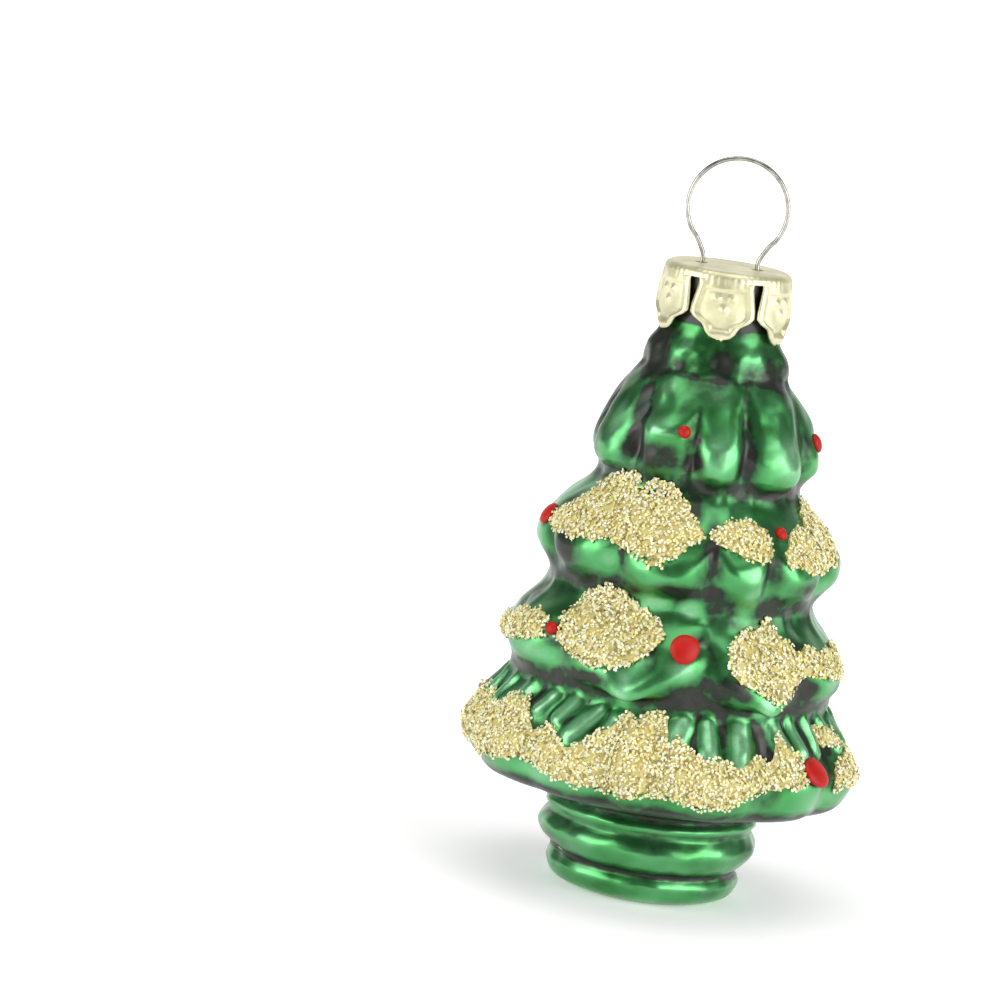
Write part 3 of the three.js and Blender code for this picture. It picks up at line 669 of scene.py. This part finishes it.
def glass_tree():
    """The glass's outside from the foot to the neck's rim, with its painted shade, patina and painted
    highlights kept as an attribute.
    """
    steps = np.hypot(*np.diff(PROFILE, axis=0).T)
    travelled = np.append(0, np.cumsum(steps))
    even = np.linspace(0, travelled[-1], GLASS_ROWS)
    rows = [np.interp(even, travelled, PROFILE[:, i]) for i in (0, 1)]
    outline = [(0.0, 0.0)] + list(zip(*rows)) + [(NECK_RADIUS - GLASS_WALL, NECK_RIM)]
    bm = spun(outline, GLASS_COLUMNS)
    r, azimuth, height = polar(bm)
    outside = (height > TINY) & (height < NECK_RIM - TINY)
    radius, z, painted_light_and_patina = surface(height, azimuth)
    radius = np.where(outside, radius, r)
    z = np.where(outside, z, height)
    a = np.radians(azimuth)
    layer = bm.verts.layers.float.new("painted_light_and_patina")
    for vert, value in zip(bm.verts, np.where(outside, painted_light_and_patina, RIM_PATINA)):
        vert[layer] = float(value)
    put(bm, np.stack([radius * np.sin(a), -radius * np.cos(a), z], axis=-1))
    return bm


def glass_inside():
    """The wall's inner face, down the bore and round the hollow, clear of every groove."""
    heights = np.linspace(NECK_RIM, INNER_FLOOR, INNER_ROWS)
    r = np.interp(heights, PROFILE[PROFILE_ORDER, 1], PROFILE[PROFILE_ORDER, 0]) - GLASS_WALL
    for tier in TIERS.values():
        r = r - tier["groove"] * share_of(tier, heights)[1]
    above_rim = heights - POT_RIM
    over_pot = (above_rim > 0) & (heights < UNDERSIDE_TOP)
    r = np.where(over_pot, np.minimum(r, POT_BORE + UNDERSIDE_SLOPE * above_rim), r)
    return spun(list(zip(r, heights)) + [(0.0, GLASS_WALL)], INNER_COLUMNS)


piece("glass_tree", glass_tree(), GLASS, "bauble", "green_glass", "glass_body")
piece("glass_inside", glass_inside(), SILVER, "bauble", "green_glass")

# Crown cap

CAP_TOP = NECK_RIM + 0.6
CAP_RADIUS = 5.95
CAP_EDGE = 0.7
CAP_SHEET = 0.24
CAP_SKIRT = 6.2
CAP_FLARE = 0.3
PETALS = 6
CAP_COLUMNS = 240
COLLAR = 0.85
PETAL_COLUMNS = 17
PETAL_TURN = 360 / PETALS
CRIMPS = 60
CRIMP_DEPTH = 0.025
HOLE_RADIUS = 0.55
LEG_SPREAD = 2.6
CUTTER_LENGTH = 2.4

# The raised border of a petal, the panel sunk inside it, and the dimples raised on the panel.
BORDER_HEIGHT = 0.13
BORDER_INSET = 0.38
BORDER_WIDTH = 0.24
PANEL_DEPTH = 0.12
DIMPLES = [(-0.7, 2.45), (0.68, 2.4), (0.02, 3.45)]
DIMPLE_HEIGHT = 0.24
DIMPLE_RADIUS = 0.3

# Half the gap between two petals against the distance under the cap's top.
PETAL_GAP = [
    (0.45, 0.85), (0.5, 1.3), (0.3, 2.4), (0.12, 3.3), (0.12, 4.0), (0.5, 4.4), (0.95, 4.65), (1.4, 4.9),
    (1.6, 5.2), (1.8, 5.6), (2.2, 6.0), (2.9, 6.2),
]


def crown_cap():
    """The pressed cap: a flat disc bent down into petals with raised rims, sunk panels and dimples."""
    disc = [(r, CAP_TOP) for r in np.linspace(0, CAP_RADIUS - CAP_EDGE, 12)]
    bend = [
        (
            CAP_RADIUS - CAP_EDGE + CAP_EDGE * math.sin(a),
            CAP_TOP - CAP_EDGE + CAP_EDGE * math.cos(a),
        )
        for a in np.radians([15, 30, 45, 60, 75])
    ]
    under = np.append(np.linspace(CAP_EDGE, COLLAR, 3), np.linspace(COLLAR + 0.08, CAP_SKIRT, 62))
    flare = np.sin((under - CAP_EDGE) / (CAP_SKIRT - CAP_EDGE) * math.pi / 2) * CAP_FLARE
    skirt = list(zip(CAP_RADIUS + flare, CAP_TOP - under))
    bm = spun(disc + bend + skirt, CAP_COLUMNS)
    r, azimuth, z = polar(bm)
    depth = CAP_TOP - z
    local = (azimuth + PETAL_TURN / 2) % PETAL_TURN - PETAL_TURN / 2
    column = local / (360 / CAP_COLUMNS)
    petal = depth > COLLAR + 0.01
    gap = np.interp(depth, [d for _, d in PETAL_GAP], [g for g, _ in PETAL_GAP])
    half = np.degrees((math.pi * CAP_RADIUS / PETALS - gap) / CAP_RADIUS)
    shifted = np.where(petal, column / PETAL_COLUMNS * half, local)
    side = np.radians(np.abs(shifted)) * CAP_RADIUS
    edge = np.minimum(np.radians(half) * CAP_RADIUS - side, (CAP_SKIRT - depth) * 0.8)
    border = BORDER_HEIGHT * np.exp(-(((edge - BORDER_INSET) / BORDER_WIDTH) ** 2))
    panel = -PANEL_DEPTH * smoothstep((edge - 0.55) / 0.3) * smoothstep((depth - 1.5) / 0.35)
    across = np.radians(shifted) * CAP_RADIUS
    spots = [((across - x) ** 2 + (depth - d) ** 2) / DIMPLE_RADIUS**2 for x, d in DIMPLES]
    dots = sum(DIMPLE_HEIGHT * np.exp(-spot) for spot in spots)
    turn = np.radians(azimuth)
    collar = smoothstep(depth / 0.2) * smoothstep((1.5 - depth) / 0.5)
    crimp = CRIMP_DEPTH * np.cos(turn * CRIMPS) * collar
    uneven = 0.05 * np.sin(5 * turn + depth) + 0.04 * np.sin(9 * turn - 1.3 * depth)
    out = np.where(petal, border + panel + dots, 0) + np.where(depth > 0.2, crimp, 0)
    out = out + np.where(depth > 0.05, uneven * smoothstep(depth / 2), 0)
    a = np.radians(azimuth - local + shifted)
    radius = np.where(depth > 0.05, r + out, r)
    put(bm, np.stack([radius * np.sin(a), -radius * np.cos(a), z], axis=-1))
    gone = [v for v, p, c in zip(bm.verts, petal, np.abs(column)) if p and c > PETAL_COLUMNS + 0.2]
    bmesh.ops.delete(bm, geom=gone, context="VERTS")
    bmesh.ops.recalc_face_normals(bm, faces=bm.faces)
    bmesh.ops.solidify(bm, geom=bm.faces[:], thickness=CAP_SHEET)
    return bm


def with_holes(cap):
    """Cuts the two wire holes through the cap's top."""
    cutter = bmesh.new()
    for side in (-LEG_SPREAD, LEG_SPREAD):
        bmesh.ops.create_cone(
            cutter, cap_ends=True, segments=24, radius1=HOLE_RADIUS, radius2=HOLE_RADIUS,
            depth=CUTTER_LENGTH, matrix=Matrix.Translation((side, 0, CAP_TOP)),
        )
    bmesh.ops.scale(cutter, vec=(MM, MM, MM), verts=cutter.verts)
    mesh = bpy.data.meshes.new("holes")
    cutter.to_mesh(mesh)
    cutter.free()
    tool = bpy.data.objects.new("holes", mesh)
    bpy.context.scene.collection.objects.link(tool)
    cut = cap.modifiers.new("holes", "BOOLEAN")
    cut.operation = "DIFFERENCE"
    cut.solver = "EXACT"
    cut.object = tool
    graph = bpy.context.evaluated_depsgraph_get()
    done = bpy.data.meshes.new_from_object(cap.evaluated_get(graph))
    cap.modifiers.remove(cut)
    cap.data = done
    bpy.data.objects.remove(tool)


cap = piece("crown_cap_pressed", crown_cap(), GOLD, "cap", "cap_sheet", "crown_cap")
with_holes(cap)

# Hanger wire

WIRE_RADIUS = 0.22
RING_RADIUS = 4.65
RING_RISE = 5.4
LEG_BOW = 2.85
LEG_TIP = 2.5
LEG_LENGTH = 11.0


def wire_path():
    """The wire from one leg's tip up through the cap, round the ring and down the other leg."""
    leg = [
        (LEG_TIP, CAP_TOP - LEG_LENGTH),
        ((LEG_TIP + LEG_BOW) / 2 + 0.1, CAP_TOP - LEG_LENGTH * 0.78),
        (LEG_BOW, CAP_TOP - LEG_LENGTH * 0.55),
        ((LEG_SPREAD + LEG_BOW) / 2 + 0.1, CAP_TOP - LEG_LENGTH * 0.32),
        (LEG_SPREAD, CAP_TOP - 1.2),
        (LEG_SPREAD, CAP_TOP - 0.15),
        (LEG_SPREAD, CAP_TOP + 0.8),
    ]
    ring = []
    for angle in np.radians(np.arange(45, 181, 13.5)):
        ring.append((RING_RADIUS * math.sin(angle), CAP_TOP + RING_RISE - RING_RADIUS * math.cos(angle)))
    half = leg + ring
    whole = half + [(-x, z) for x, z in reversed(half[:-1])]
    return spline_through(whole, 6)


def hanger():
    """The wire as one round bar along its path."""
    curve = bpy.data.curves.new("hanger_ring", "CURVE")
    curve.dimensions = "3D"
    path = wire_path()
    line = curve.splines.new("POLY")
    line.points.add(len(path) - 1)
    for point, (x, z) in zip(line.points, path):
        point.co = (x * MM, 0, z * MM, 1)
    curve.bevel_depth = WIRE_RADIUS * MM
    curve.bevel_resolution = 4
    curve.use_fill_caps = True
    curve.materials.append(WIRE)
    made = bpy.data.objects.new("hanger_ring", curve)
    bpy.context.scene.collection.objects.link(made)
    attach(made, "hanger")
    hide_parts("hanger_wire")


hanger()

# Glitter

# Patches of glitter: azimuth, lower and upper height of the edge.
GLITTER = {
    "glitter_skirt_front": [
        (-106, 13.2, 14.6), (-97, 12.4, 16.6), (-90, 12.1, 17.5), (-76, 12.0, 17.2), (-65, 12.2, 16.7),
        (-59, 12.4, 18.2), (-53, 12.6, 18.7), (-47, 12.9, 17.0), (-43, 13.0, 15.9), (-38, 12.9, 17.2),
        (-33, 12.7, 16.3), (-28, 12.3, 15.4), (-24, 12.1, 16.1), (-20, 12.1, 17.5), (-17, 12.1, 17.9),
        (-13.5, 12.1, 19.4), (-8.8, 12.0, 19.2), (-3, 12.2, 19.9), (1.5, 12.4, 19.6), (2.7, 12.4, 17.2),
        (5, 12.4, 17.9), (10, 12.0, 17.0), (15, 11.8, 16.5), (20, 11.9, 16.5), (25, 12.6, 15.9),
        (30.5, 13.4, 16.7), (36, 13.7, 16.3), (38.5, 13.8, 15.7), (41.5, 13.9, 18.9), (44, 14.0, 17.7),
        (48, 14.4, 17.0), (51, 15.2, 16.3),
    ],
    "glitter_skirt_fleck": [(60.5, 17.6, 18.5), (64, 17.1, 19.0), (70, 16.9, 18.7), (75, 17.2, 17.9)],
    "glitter_skirt_right": [
        (66.5, 13.2, 15.2), (70, 13.3, 15.9), (79, 13.4, 16.3), (90, 13.4, 17.0), (100, 13.4, 17.4),
        (110, 14.2, 15.8),
    ],
    "glitter_skirt_back_right": [
        (132, 13.2, 15.0), (142, 12.6, 17.4), (154, 12.7, 18.8), (166, 13.6, 18.4), (174, 15.0, 16.6),
    ],
    "glitter_skirt_back_left": [
        (208, 13.0, 15.2), (218, 12.5, 18.2), (230, 12.6, 17.6), (240, 13.8, 15.8),
    ],
    "glitter_lower_left": [
        (-104, 22.4, 23.6), (-90, 22.0, 24.3), (-75, 22.6, 25.4), (-62, 23.3, 26.1), (-53, 23.8, 26.0),
        (-50, 24.2, 25.2),
    ],
    "glitter_lower_front": [
        (-47.5, 24.2, 26.6), (-44, 24.0, 28.6), (-38, 23.4, 29.6), (-33, 23.1, 30.2), (-28, 22.9, 30.0),
        (-24, 22.7, 29.8), (-18, 22.8, 29.0), (-12, 23.8, 28.2), (-7, 25.2, 27.6), (-4.5, 26.2, 26.9),
    ],
    "glitter_lower_right": [
        (20.5, 24.2, 26.4), (24, 23.4, 27.3), (28, 22.9, 27.7), (34, 22.0, 28.0), (39.5, 21.0, 29.0),
        (43, 21.9, 28.2), (47, 22.9, 27.0), (52, 23.6, 25.8), (57, 23.8, 26.5), (64, 23.5, 25.8),
        (73, 23.1, 26.0), (82, 23.4, 26.2), (88, 24.0, 25.4),
    ],
    "glitter_lower_back_right": [
        (122, 23.8, 25.4), (132, 22.2, 27.4), (144, 22.0, 28.4), (154, 24.0, 26.4),
    ],
    "glitter_lower_back_left": [
        (190, 24.0, 25.6), (202, 22.1, 27.0), (216, 22.0, 28.2), (228, 23.2, 26.4), (234, 24.2, 25.4),
    ],
    "glitter_middle_front": [
        (-75, 33.7, 34.7), (-68, 33.5, 35.8), (-61, 33.5, 38.2), (-55, 33.5, 39.4), (-47, 33.5, 40.0),
        (-38, 33.9, 40.2), (-33, 34.2, 40.2), (-29.5, 33.9, 39.5), (-25, 33.6, 40.0), (-20, 33.2, 40.2),
        (-13, 32.3, 40.1), (-8, 32.7, 39.2), (-4, 33.5, 38.4), (0, 34.8, 37.5), (3.5, 35.4, 36.6),
        (5.5, 35.6, 36.1),
    ],
    "glitter_middle_centre": [
        (8.7, 35.5, 36.3), (14, 35.2, 37.1), (20, 34.7, 37.4), (26, 34.2, 37.5), (33, 34.0, 37.1),
        (37, 34.8, 36.0),
    ],
    "glitter_middle_right": [
        (43, 33.8, 35.2), (46, 33.6, 35.4), (50.5, 33.4, 36.9), (53, 33.2, 36.9), (62, 32.9, 36.8),
        (71, 32.8, 38.0), (80, 33.4, 39.0), (88, 35.5, 38.6), (93, 36.8, 38.0),
    ],
    "glitter_middle_back_right": [
        (112, 33.1, 34.7), (122, 31.8, 36.5), (136, 32.1, 37.9), (148, 34.3, 37.5), (154, 35.3, 36.5),
    ],
    "glitter_middle_back_left": [
        (198, 33.3, 34.9), (208, 31.9, 37.1), (222, 32.5, 37.7), (236, 34.5, 36.9),
    ],
    "glitter_upper_back": [
        (152, 42.9, 44.3), (164, 41.7, 46.5), (180, 41.5, 47.7), (196, 42.7, 45.9), (204, 43.5, 44.7),
    ],
}

# Drops of enamel: azimuth, height and diameter.
DROPS = {
    "red_drop_upper_front": (-11, 44.8, 1.2),
    "red_drop_upper_right": (88, 44.2, 1.9),
    "red_drop_middle_left": (-81, 34.3, 2.3),
    "red_drop_middle_right": (44.5, 36.5, 1.3),
    "red_drop_lower_front": (4, 25.7, 2.8),
    "red_drop_lower_left": (-49, 25.0, 1.3),
    "red_drop_skirt_right": (54, 15.3, 3.2),
    "red_drop_skirt_back": (190, 15.4, 2.4),
    "red_drop_lower_back": (173, 25.4, 2.2),
    "red_drop_middle_back": (180, 35.1, 2.2),
    "red_drop_upper_back": (-128, 44.5, 1.8),
}

# Thin places in the glitter: azimuth, height, half widths in degrees and millimetres, and strength.
THIN = [
    (-33, 39.0, 3.5, 0.6, 1.1), (-24, 38.4, 4.0, 0.8, 1.1), (-18, 38.9, 3.0, 0.5, 0.9),
    (-40, 38.2, 3.0, 0.5, 0.7), (-12, 33.4, 7.0, 0.8, 0.5), (-2, 17.9, 1.5, 1.2, 1.0),
    (44, 16.4, 2.0, 0.8, 0.7), (-10, 18.6, 2.0, 0.6, 0.6),
]

# Grains to a square millimetre, and how many more are strewn for those that fall beside the patch.
GRAINS_PER_MM2 = 19
STREWN_SPARE = 1.15
GRAIN_RADIUS = (0.11, 0.18)
GRAIN_THICKNESS = 0.07
GRAIN_HEIGHT = (0.12, 0.38)
GRAIN_TILT = 0.42
GRAIN_TINT = (0.14, 1.0)
GLUE_TINT = 0.08
GLUE_THICKNESS = 0.12
GLUE_LIFT = 0.12
GLUE_ROWS = 18
GLUE_TURN_STEP = 1.3
GLITTER_SEED = 1200


def ragged(azimuth, z):
    """An uneven field that frays the patches' edges and opens small holes in them."""
    a = np.radians(azimuth)
    return (
        np.sin(23 * a + 1.7 * z) * np.sin(2.3 * z - 11 * a)
        + 0.6 * np.sin(47 * a - 3.1 * z + 1.0)
        + 0.5 * np.sin(5.3 * z + 31 * a + 2.0)
    ) / 2.1


def inside_patch(edge, azimuth, z, margin=0.0):
    """Where a point lies within a patch's frayed edge and off its thin places."""
    turns = [e[0] for e in edge]
    low = np.interp(azimuth, turns, [e[1] for e in edge])
    high = np.interp(azimuth, turns, [e[2] for e in edge])
    reach = np.minimum(np.minimum(z - low, high - z), 1.0)
    thin = sum(spot[4] * blob(azimuth, z, spot) for spot in THIN)
    return reach + 0.25 * ragged(azimuth, z) - thin > margin


def clear_of_drops(azimuth, z, margin):
    """Where a point lies outside every drop of enamel."""
    clear = np.ones(len(azimuth), bool)
    for turn, height, size in DROPS.values():
        radius = float(surface(height, turn)[0])
        across = np.radians(offset(azimuth, turn)) * radius
        clear &= np.hypot(across, z - height) > size / 2 + margin
    return clear


def glitter_bed(edge):
    """The film of glue under the grains."""
    turns = np.array([e[0] for e in edge], float)
    wide = int((turns[-1] - turns[0]) / GLUE_TURN_STEP)
    bm = bmesh.new()
    bmesh.ops.create_grid(bm, x_segments=wide, y_segments=GLUE_ROWS, size=0.5)
    u = np.array([v.co.x for v in bm.verts]) + 0.5
    v = np.array([v.co.y for v in bm.verts]) + 0.5
    azimuth = turns[0] + u * (turns[-1] - turns[0])
    low = np.interp(azimuth, turns, [e[1] for e in edge])
    high = np.interp(azimuth, turns, [e[2] for e in edge])
    z = low + v * (high - low)
    here, normal = points_and_normals(height_for(z, azimuth), azimuth)
    lift = GLUE_LIFT + 0.05 * ragged(azimuth * 1.7, z * 1.3)
    put(bm, here + normal * lift[:, None])
    keep = inside_patch(edge, azimuth, z, 0.02) & clear_of_drops(azimuth, z, 0.1)
    gone = [vert for vert, k in zip(bm.verts, keep) if not k]
    bmesh.ops.delete(bm, geom=gone, context="VERTS")
    bmesh.ops.recalc_face_normals(bm, faces=bm.faces)
    bmesh.ops.solidify(bm, geom=bm.faces[:], thickness=GLUE_THICKNESS)
    return bm


def one_grain():
    """A flat hexagonal grain of unit size."""
    bm = bmesh.new()
    bmesh.ops.create_cone(bm, cap_ends=True, segments=6, radius1=1, radius2=0.85, depth=1)
    mesh = bpy.data.meshes.new("grain")
    bm.to_mesh(mesh)
    bm.free()
    return mesh


def strewn(edge, rng):
    """Places on a patch for its grains, with the way out of the glass at each."""
    turns = np.array([e[0] for e in edge], float)
    lows = np.array([e[1] for e in edge], float)
    highs = np.array([e[2] for e in edge], float)
    radius = float(surface((lows.min() + highs.max()) / 2, turns.mean())[0])
    low, high = lows.min() - 0.2, highs.max() + 0.2
    area = math.radians(turns[-1] - turns[0]) * radius * (high - low)
    count = int(area * GRAINS_PER_MM2 * STREWN_SPARE)
    azimuth = rng.uniform(turns[0] - 0.6, turns[-1] + 0.6, count)
    z = rng.uniform(low, high, count)
    keep = inside_patch(edge, azimuth, z, -0.05) & clear_of_drops(azimuth, z, 0.05)
    return points_and_normals(height_for(z[keep], azimuth[keep]), azimuth[keep])


def glitter_patch(name, edge, seed, grain):
    """A film of glue with hexagonal grains strewn over it, each tilted its own way."""
    rng = np.random.default_rng(seed)
    bm = glitter_bed(edge)
    film = len(bm.verts)
    here, normal = strewn(edge, rng)
    count = len(here)
    for _ in range(count):
        bm.from_mesh(grain)
    made = piece(name + "_grains", bm, GRAINS, "bauble", "glitter", name)
    mesh = made.data
    corners = np.array([v.co for v in grain.vertices])
    up = normal + rng.normal(0, GRAIN_TILT, (count, 3))
    up /= np.linalg.norm(up, axis=1)[:, None]
    side = np.cross(up, rng.normal(0, 1, (count, 3)))
    side /= np.linalg.norm(side, axis=1)[:, None]
    across = np.cross(up, side)
    size = rng.uniform(*GRAIN_RADIUS, count)[:, None, None]
    middle = here + normal * rng.uniform(*GRAIN_HEIGHT, count)[:, None]
    flat = corners[None, :, :1] * side[:, None] + corners[None, :, 1:2] * across[:, None]
    placed = middle[:, None] + size * flat + GRAIN_THICKNESS * corners[None, :, 2:] * up[:, None]
    spots = np.empty(len(mesh.vertices) * 3)
    mesh.vertices.foreach_get("co", spots)
    spots[film * 3:] = placed.ravel() * MM
    mesh.vertices.foreach_set("co", spots)
    tint = mesh.attributes.new("tint", "FLOAT", "POINT")
    per_grain = np.repeat(rng.uniform(*GRAIN_TINT, count), len(corners))
    tint.data.foreach_set("value", np.append(np.full(film, GLUE_TINT), per_grain))
    mesh.polygons.foreach_set("use_smooth", [False] * len(mesh.polygons))
    mesh.update()


def glitter():
    grain = one_grain()
    for number, (name, edge) in enumerate(GLITTER.items()):
        glitter_patch(name, edge, GLITTER_SEED + number, grain)


glitter()

# Enamel drops

DROP_RISE = 0.5
DROP_LIFT = 0.06
DROP_UNEVEN = (0.94, 1.06)
DROP_SEED = 40


def enamel_drop(azimuth, z, size, seed):
    """A flattened, slightly uneven dome of enamel on the glass."""
    rng = random.Random(seed)
    turn = np.array([float(azimuth)])
    height = height_for(np.array([z]), turn)
    here, normal = points_and_normals(height, turn)
    bm = bmesh.new()
    bmesh.ops.create_uvsphere(bm, u_segments=36, v_segments=20, radius=1)
    lean = [rng.uniform(*DROP_UNEVEN) for _ in range(3)]
    for vert in bm.verts:
        x, y, up = vert.co
        side = math.atan2(y, x)
        swell = 1 + 0.03 * math.sin(2 * side + seed) + 0.02 * math.sin(3 * side + 2 * seed)
        radius = size / 2 * swell
        vert.co = (x * radius * lean[0], y * radius * lean[1], up * DROP_RISE * lean[2])
    out = Vector(normal[0])
    turned = out.to_track_quat("Z", "Y").to_matrix().to_4x4()
    bm.transform(Matrix.Translation(Vector(here[0]) + out * DROP_LIFT) @ turned)
    return bm


for number, (name, (azimuth, z, size)) in enumerate(DROPS.items()):
    drop = enamel_drop(azimuth, z, size, DROP_SEED + number)
    piece(name + "_dome", drop, ENAMEL, "bauble", "red_enamel", name)

# Floor, lights and background, in metres

FLOOR_HALF_WIDTH = 5
LAMP_TARGET = 0.03

# The floor's glow beside the bauble and away from it, and the distances between which it grows.
GLOW = (0.35, 1.0)
GLOW_REACH = (0.05, 0.45)

# Brightness of the room around the lamps, where white is 1, and how far towards the back the white backdrop
# starts and is full, as the Y of a direction.
ROOM = 0.12
BACKDROP = (0.6, 0.9)


def floor():
    """A white floor that keeps the bauble's shadow and glows away from it where it is seen."""
    bm = bmesh.new()
    bmesh.ops.create_grid(bm, x_segments=8, y_segments=8, size=FLOOR_HALF_WIDTH)
    mesh = bpy.data.meshes.new("floor")
    bm.to_mesh(mesh)
    bm.free()
    m = Nodes("floor_white")
    cloud = m.noise(3, 2, 0.5)
    m.link(m.ramp(cloud, (0.3, (0.86, 0.86, 0.86)), (0.7, (0.9, 0.9, 0.9))), m.shader.inputs["Base Color"])
    m.shader.inputs["Roughness"].default_value = 0.9
    m.shader.inputs["Emission Color"].default_value = (1, 1, 1, 1)
    seen = m.seen()
    spot = m.add("ShaderNodeVectorMath", operation="LENGTH")
    m.link(m.add("ShaderNodeTexCoord").outputs["Object"], spot.inputs[0])
    away = m.range(spot.outputs["Value"], *GLOW)
    away.node.inputs["From Min"].default_value = GLOW_REACH[0]
    away.node.inputs["From Max"].default_value = GLOW_REACH[1]
    m.link(m.math("MULTIPLY", seen, away), m.shader.inputs["Emission Strength"])
    mesh.materials.append(m.material)
    ground = bpy.data.objects.new("floor", mesh)
    bpy.context.scene.collection.objects.link(ground)


def softbox(name, azimuth, height, distance, wide, tall, radiance, mirrored=True):
    """An area lamp turned to the bauble, as bright as a white wall of the given radiance."""
    lamp = bpy.data.lights.new(name, "AREA")
    lamp.shape = "RECTANGLE"
    lamp.size = wide
    lamp.size_y = tall
    lamp.energy = radiance * math.pi * wide * tall
    made = bpy.data.objects.new(name, lamp)
    bpy.context.scene.collection.objects.link(made)
    a = math.radians(azimuth)
    place = Vector((distance * math.sin(a), -distance * math.cos(a), height))
    made.location = place
    made.rotation_euler = (Vector((0, 0, LAMP_TARGET)) - place).to_track_quat("-Z", "Y").to_euler()
    made.visible_glossy = mirrored


def background():
    """White all round for the camera; for the rest a white backdrop behind the bauble and a dim room."""
    world = bpy.data.worlds.new("surround")
    bpy.context.scene.world = world
    world.use_nodes = True
    tree = world.node_tree
    tree.nodes.clear()
    out = tree.nodes.new("ShaderNodeOutputWorld")
    coords = tree.nodes.new("ShaderNodeTexCoord")
    split = tree.nodes.new("ShaderNodeSeparateXYZ")
    behind = tree.nodes.new("ShaderNodeMapRange")
    for socket, value in zip(("From Min", "From Max", "To Min", "To Max"), (*BACKDROP, ROOM, 1.0)):
        behind.inputs[socket].default_value = value
    tree.links.new(coords.outputs["Generated"], split.inputs[0])
    tree.links.new(split.outputs["Y"], behind.inputs["Value"])
    plain = tree.nodes.new("ShaderNodeBackground")
    tree.links.new(behind.outputs[0], plain.inputs["Strength"])
    white = tree.nodes.new("ShaderNodeBackground")
    for node in (plain, white):
        node.inputs["Color"].default_value = (1, 1, 1, 1)
    mix = tree.nodes.new("ShaderNodeMixShader")
    path = tree.nodes.new("ShaderNodeLightPath")
    tree.links.new(path.outputs["Is Camera Ray"], mix.inputs["Fac"])
    tree.links.new(plain.outputs[0], mix.inputs[1])
    tree.links.new(white.outputs[0], mix.inputs[2])
    tree.links.new(mix.outputs[0], out.inputs["Surface"])


floor()
softbox("softbox_left", -58, 0.19, 0.55, 0.5, 0.34, 3.6)
softbox("softbox_right", 62, 0.19, 0.55, 0.62, 0.34, 3.7)
softbox("softbox_top", 0, 0.9, 0.1, 0.8, 0.8, 1.8)
softbox("softbox_back", 180, 0.5, 0.7, 0.6, 0.4, 1.0, mirrored=False)
background()
bpy.context.scene.view_settings.view_transform = "Standard"
